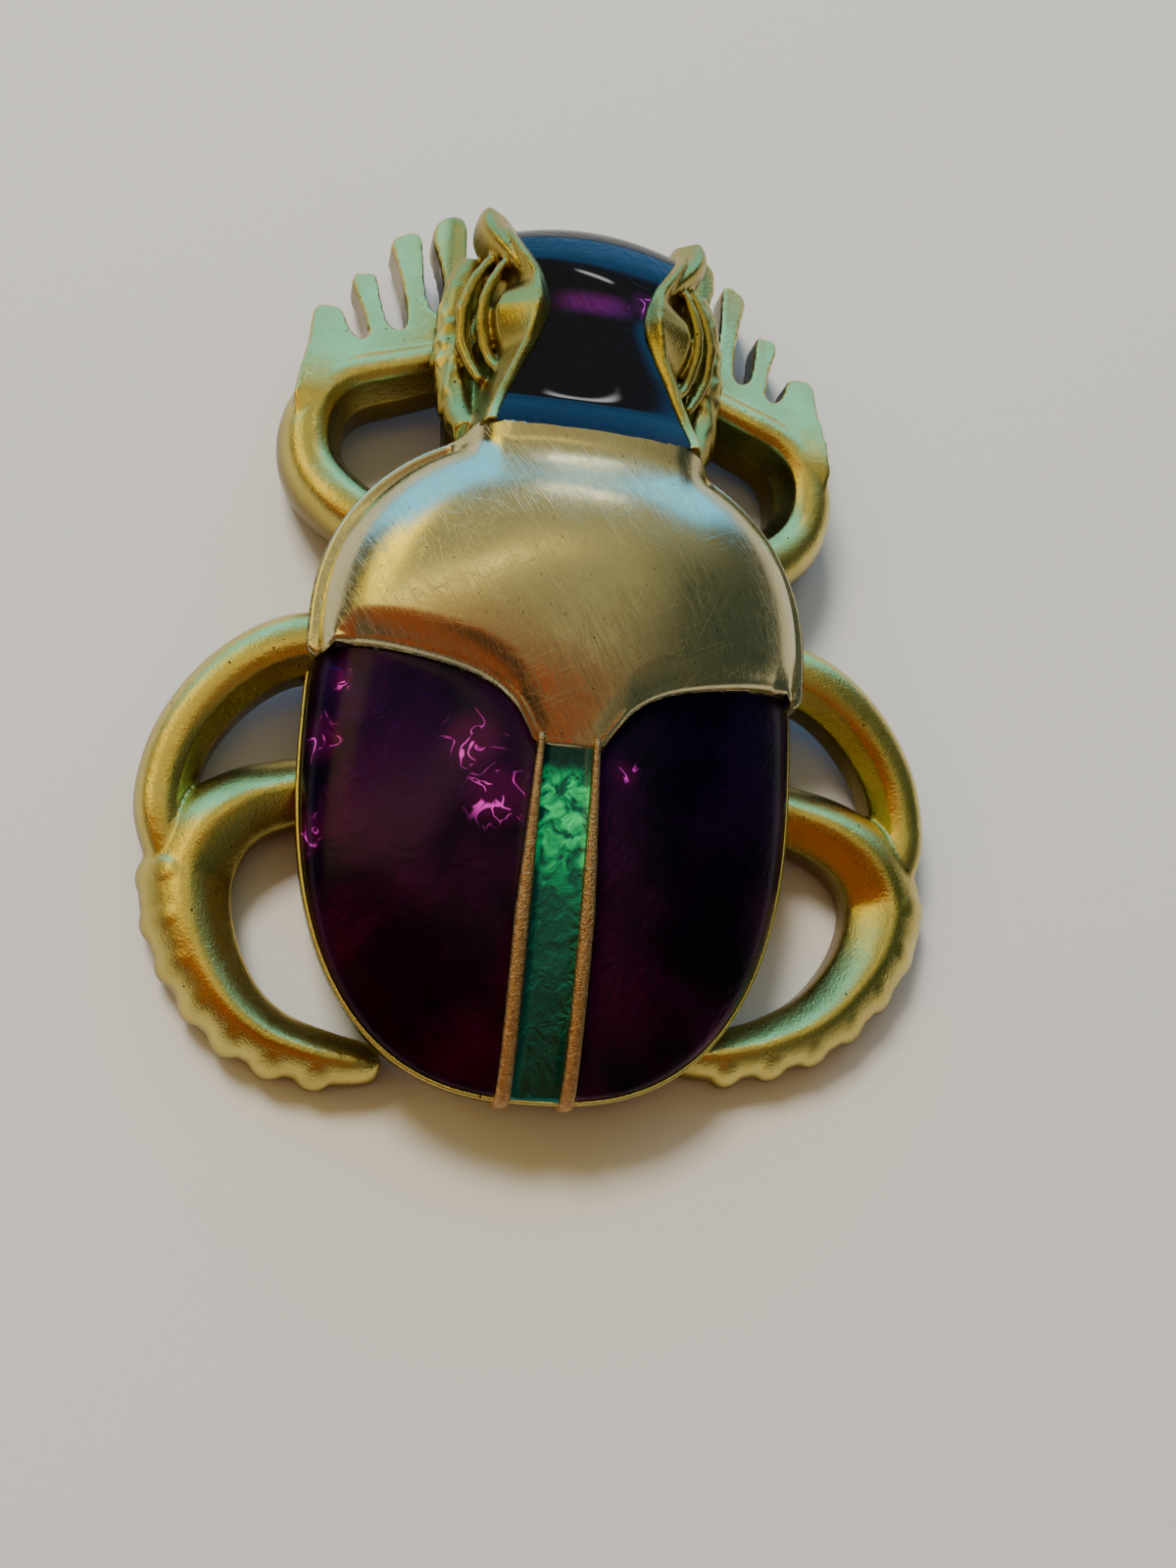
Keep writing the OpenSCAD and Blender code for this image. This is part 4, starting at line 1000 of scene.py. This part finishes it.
# The wing cases are dulled by wear, and the head keeps its gloss
worn_flat = along_body(tree, place, 12, 10)
finish(tree, {
    "Base Color": colour, "Metallic": 1.0, "Roughness": 0.4,
    "Normal": add(tree, "ShaderNodeBump", {"Height": fold, "Strength": 0.45, "Distance": 0.25 * MM}),
    "Coat Weight": add(tree, "ShaderNodeMapRange", {"Value": worn_flat, "To Min": 0.6, "To Max": 0.2}),
    "Coat Roughness": add(tree, "ShaderNodeMapRange", {"Value": worn_flat, "To Min": 0.02, "To Max": 0.12}),
    # The painted glints also glow a little, though no lamp lights them
    "Coat IOR": 1.45, "Emission Color": linear("#FF3CE8"),
    "Emission Strength": add(tree, "ShaderNodeMath", {0: painted_glint, 1: 0.4}, operation="MULTIPLY")})

right_wing = sheet_solid(wing_high, wing_low)
for name, shell in (("right_wing", right_wing), ("left_wing", mirrored(right_wing))):
    piece(name, placed_mesh(name, [shell]), amethyst, [name + "_enamel"], 40)

# Stripe enamel
# Emerald enamel between the ridges, poured over a hammered gold ground and polished. It fills its channel to
# just below the ridges.
STRIPE_SUNK, STRIPE_CREEP, STRIPE_ENAMEL_T = 0.12, 0.1, 0.6
stripe_y, stripe_z = crown_line(-0.05, -SHIELD_POINT + 0.3, 140)
half = STRIPE_W / 2 + 0.02
across = np.linspace(-half, half, 25)
stripe_high = np.array([[(x, y, z - STRIPE_SUNK + STRIPE_CREEP * (x / half) ** 6) for x in across]
                        for y, z in zip(stripe_y, stripe_z)])
stripe_low = stripe_high - (0, 0, STRIPE_ENAMEL_T)

# Translucent emerald enamel, glassy: sparkles of the hammered ground are painted on in bright green with a
# little glow, strongest towards the shield, and its first millimetre beside the shield is painted dark as
# shade
emerald, tree = new_material("emerald_enamel_on_hammered_gold")
place = add(tree, "ShaderNodeTexCoord", output="Object")
hammered = add(tree, "ShaderNodeTexNoise", {"Vector": place, "Scale": 1 / (0.8 * MM), "Detail": 3.0,
                                            "Distortion": 0.8})
sparkle = add(tree, "ShaderNodeMapRange", {"Value": hammered, "From Min": 0.42, "From Max": 0.62})
# Painted shade: the stripe is darker beside the shield's point
shaded = along_body(tree, place, -6.6, -5.4)
unshaded = add(tree, "ShaderNodeMath", {0: 1.0, 1: shaded}, operation="SUBTRACT")
# Painted highlight: bright green sparkles with a little emission, fading out away from the shield
painted_sparkle = add(tree, "ShaderNodeMath", {0: sparkle, 1: along_body(tree, place, -13, -7)}, operation="MULTIPLY")
painted_sparkle = add(tree, "ShaderNodeMath", {0: painted_sparkle, 1: unshaded}, operation="MULTIPLY")
colour = add(tree, "ShaderNodeMix", {0: shaded, 6: linear("#0C6E66"), 7: linear("#063A3C")}, **COLOURS)
colour = add(tree, "ShaderNodeMix", {0: painted_sparkle, 6: colour, 7: linear("#2CF09C")}, **COLOURS)
finish(tree, {
    "Base Color": colour, "Metallic": 1.0, "Roughness": 0.3,
    "Normal": add(tree, "ShaderNodeBump", {"Height": hammered, "Strength": 0.6, "Distance": 0.2 * MM}),
    "Coat Weight": 0.5, "Coat Roughness": 0.05, "Coat IOR": 1.52, "Emission Color": linear("#10E880"),
    "Emission Strength": add(tree, "ShaderNodeMath", {0: painted_sparkle, 1: 0.35}, operation="MULTIPLY")})
piece("stripe", placed_mesh("stripe", [sheet_solid(stripe_high, stripe_low)]), emerald,
      ["stripe_enamel"], 40)

# Head enamel
# The same amethyst enamel on the saddle of the head, poured into its cell and polished glossy. It is bowed
# across and turned down at its front.
CROWN, FRONT_BOW = 0.3, 0.55
rows = eased(HEAD_ROWS, 14)
across = np.linspace(-1, 1, 41)
head_high = np.array([[(v * (row[1] * HEAD_ENAMEL_W / 2 + 0.04),
                        HEAD_BACK + row[0] * HEAD_RUN + FRONT_BOW * (1 - v * v) * max(0, row[0] - 0.6) / 0.4,
                        row[3] * NECK_H + CROWN * (1 - v * v) - 0.02) for v in across] for row in rows])
head_low = head_high - (0, 0, WING_ENAMEL_T)
piece("head_enamel", placed_mesh("head_enamel_top", [sheet_solid(head_high, head_low)]), amethyst,
      ["head_enamel"], 40)

# Pin finding
# Plated steel bar soldered across the back, with a hinge block, a stem and a catch. The photo hides it,
# so it is finished plainly.
PIN_Y, BAR_LEN, BAR_W, BAR_T, PIN_D, BLOCK, CLEAR, SEAT = 4.0, 21.0, 3.0, 0.8, 0.9, 2.2, 0.3, 0.03

# Plated steel: satin and even, a little warm
steel, tree = new_material("plated_steel_finding")
place = add(tree, "ShaderNodeTexCoord", output="Object")
finish(tree, {"Base Color": linear("#C9BFA0"), "Metallic": 1.0, "Roughness": 0.32,
              "Normal": grain_bump(tree, place, 0.2, 0.006, 0.5)})


def box_shell(x0, x1, y0, y1, z0, z1):
    return tube([[(x0, y0, z), (x0, y1, z), (x1, y1, z), (x1, y0, z)] for z in (z0, z1)])


bar_top = BACK_H - SEAT
bar_low = bar_top - BAR_T
stem_z = CLEAR + (bar_low - CLEAR) / 2
shells = [box_shell(-BAR_LEN / 2, BAR_LEN / 2, PIN_Y - BAR_W / 2, PIN_Y + BAR_W / 2, bar_low, bar_top)]
for side in (-1, 1):
    middle = side * (BAR_LEN - BLOCK) / 2
    shells.append(box_shell(middle - BLOCK / 2, middle + BLOCK / 2, PIN_Y - BAR_W * 0.4, PIN_Y + BAR_W * 0.4,
                            CLEAR, bar_low + 0.05))
stem = [[(x, PIN_Y + PIN_D / 2 * math.cos(t), stem_z + PIN_D / 2 * math.sin(t))
         for t in (2 * math.pi * i / 32 for i in range(32))]
        for x in np.linspace(-BAR_LEN / 2 + BLOCK / 2, BAR_LEN / 2 - BLOCK / 2, 30)]
shells.append(tube(stem))
finding = put("finding", placed_mesh("finding", shells))
soft_edge = finding.modifiers.new("soft_edge", "BEVEL")
soft_edge.width = 0.1 * MM
soft_edge.segments = 2
soft_edge.limit_method = "ANGLE"
piece("pin_bar", applied(finding), steel, ["pin_finding"], 35)
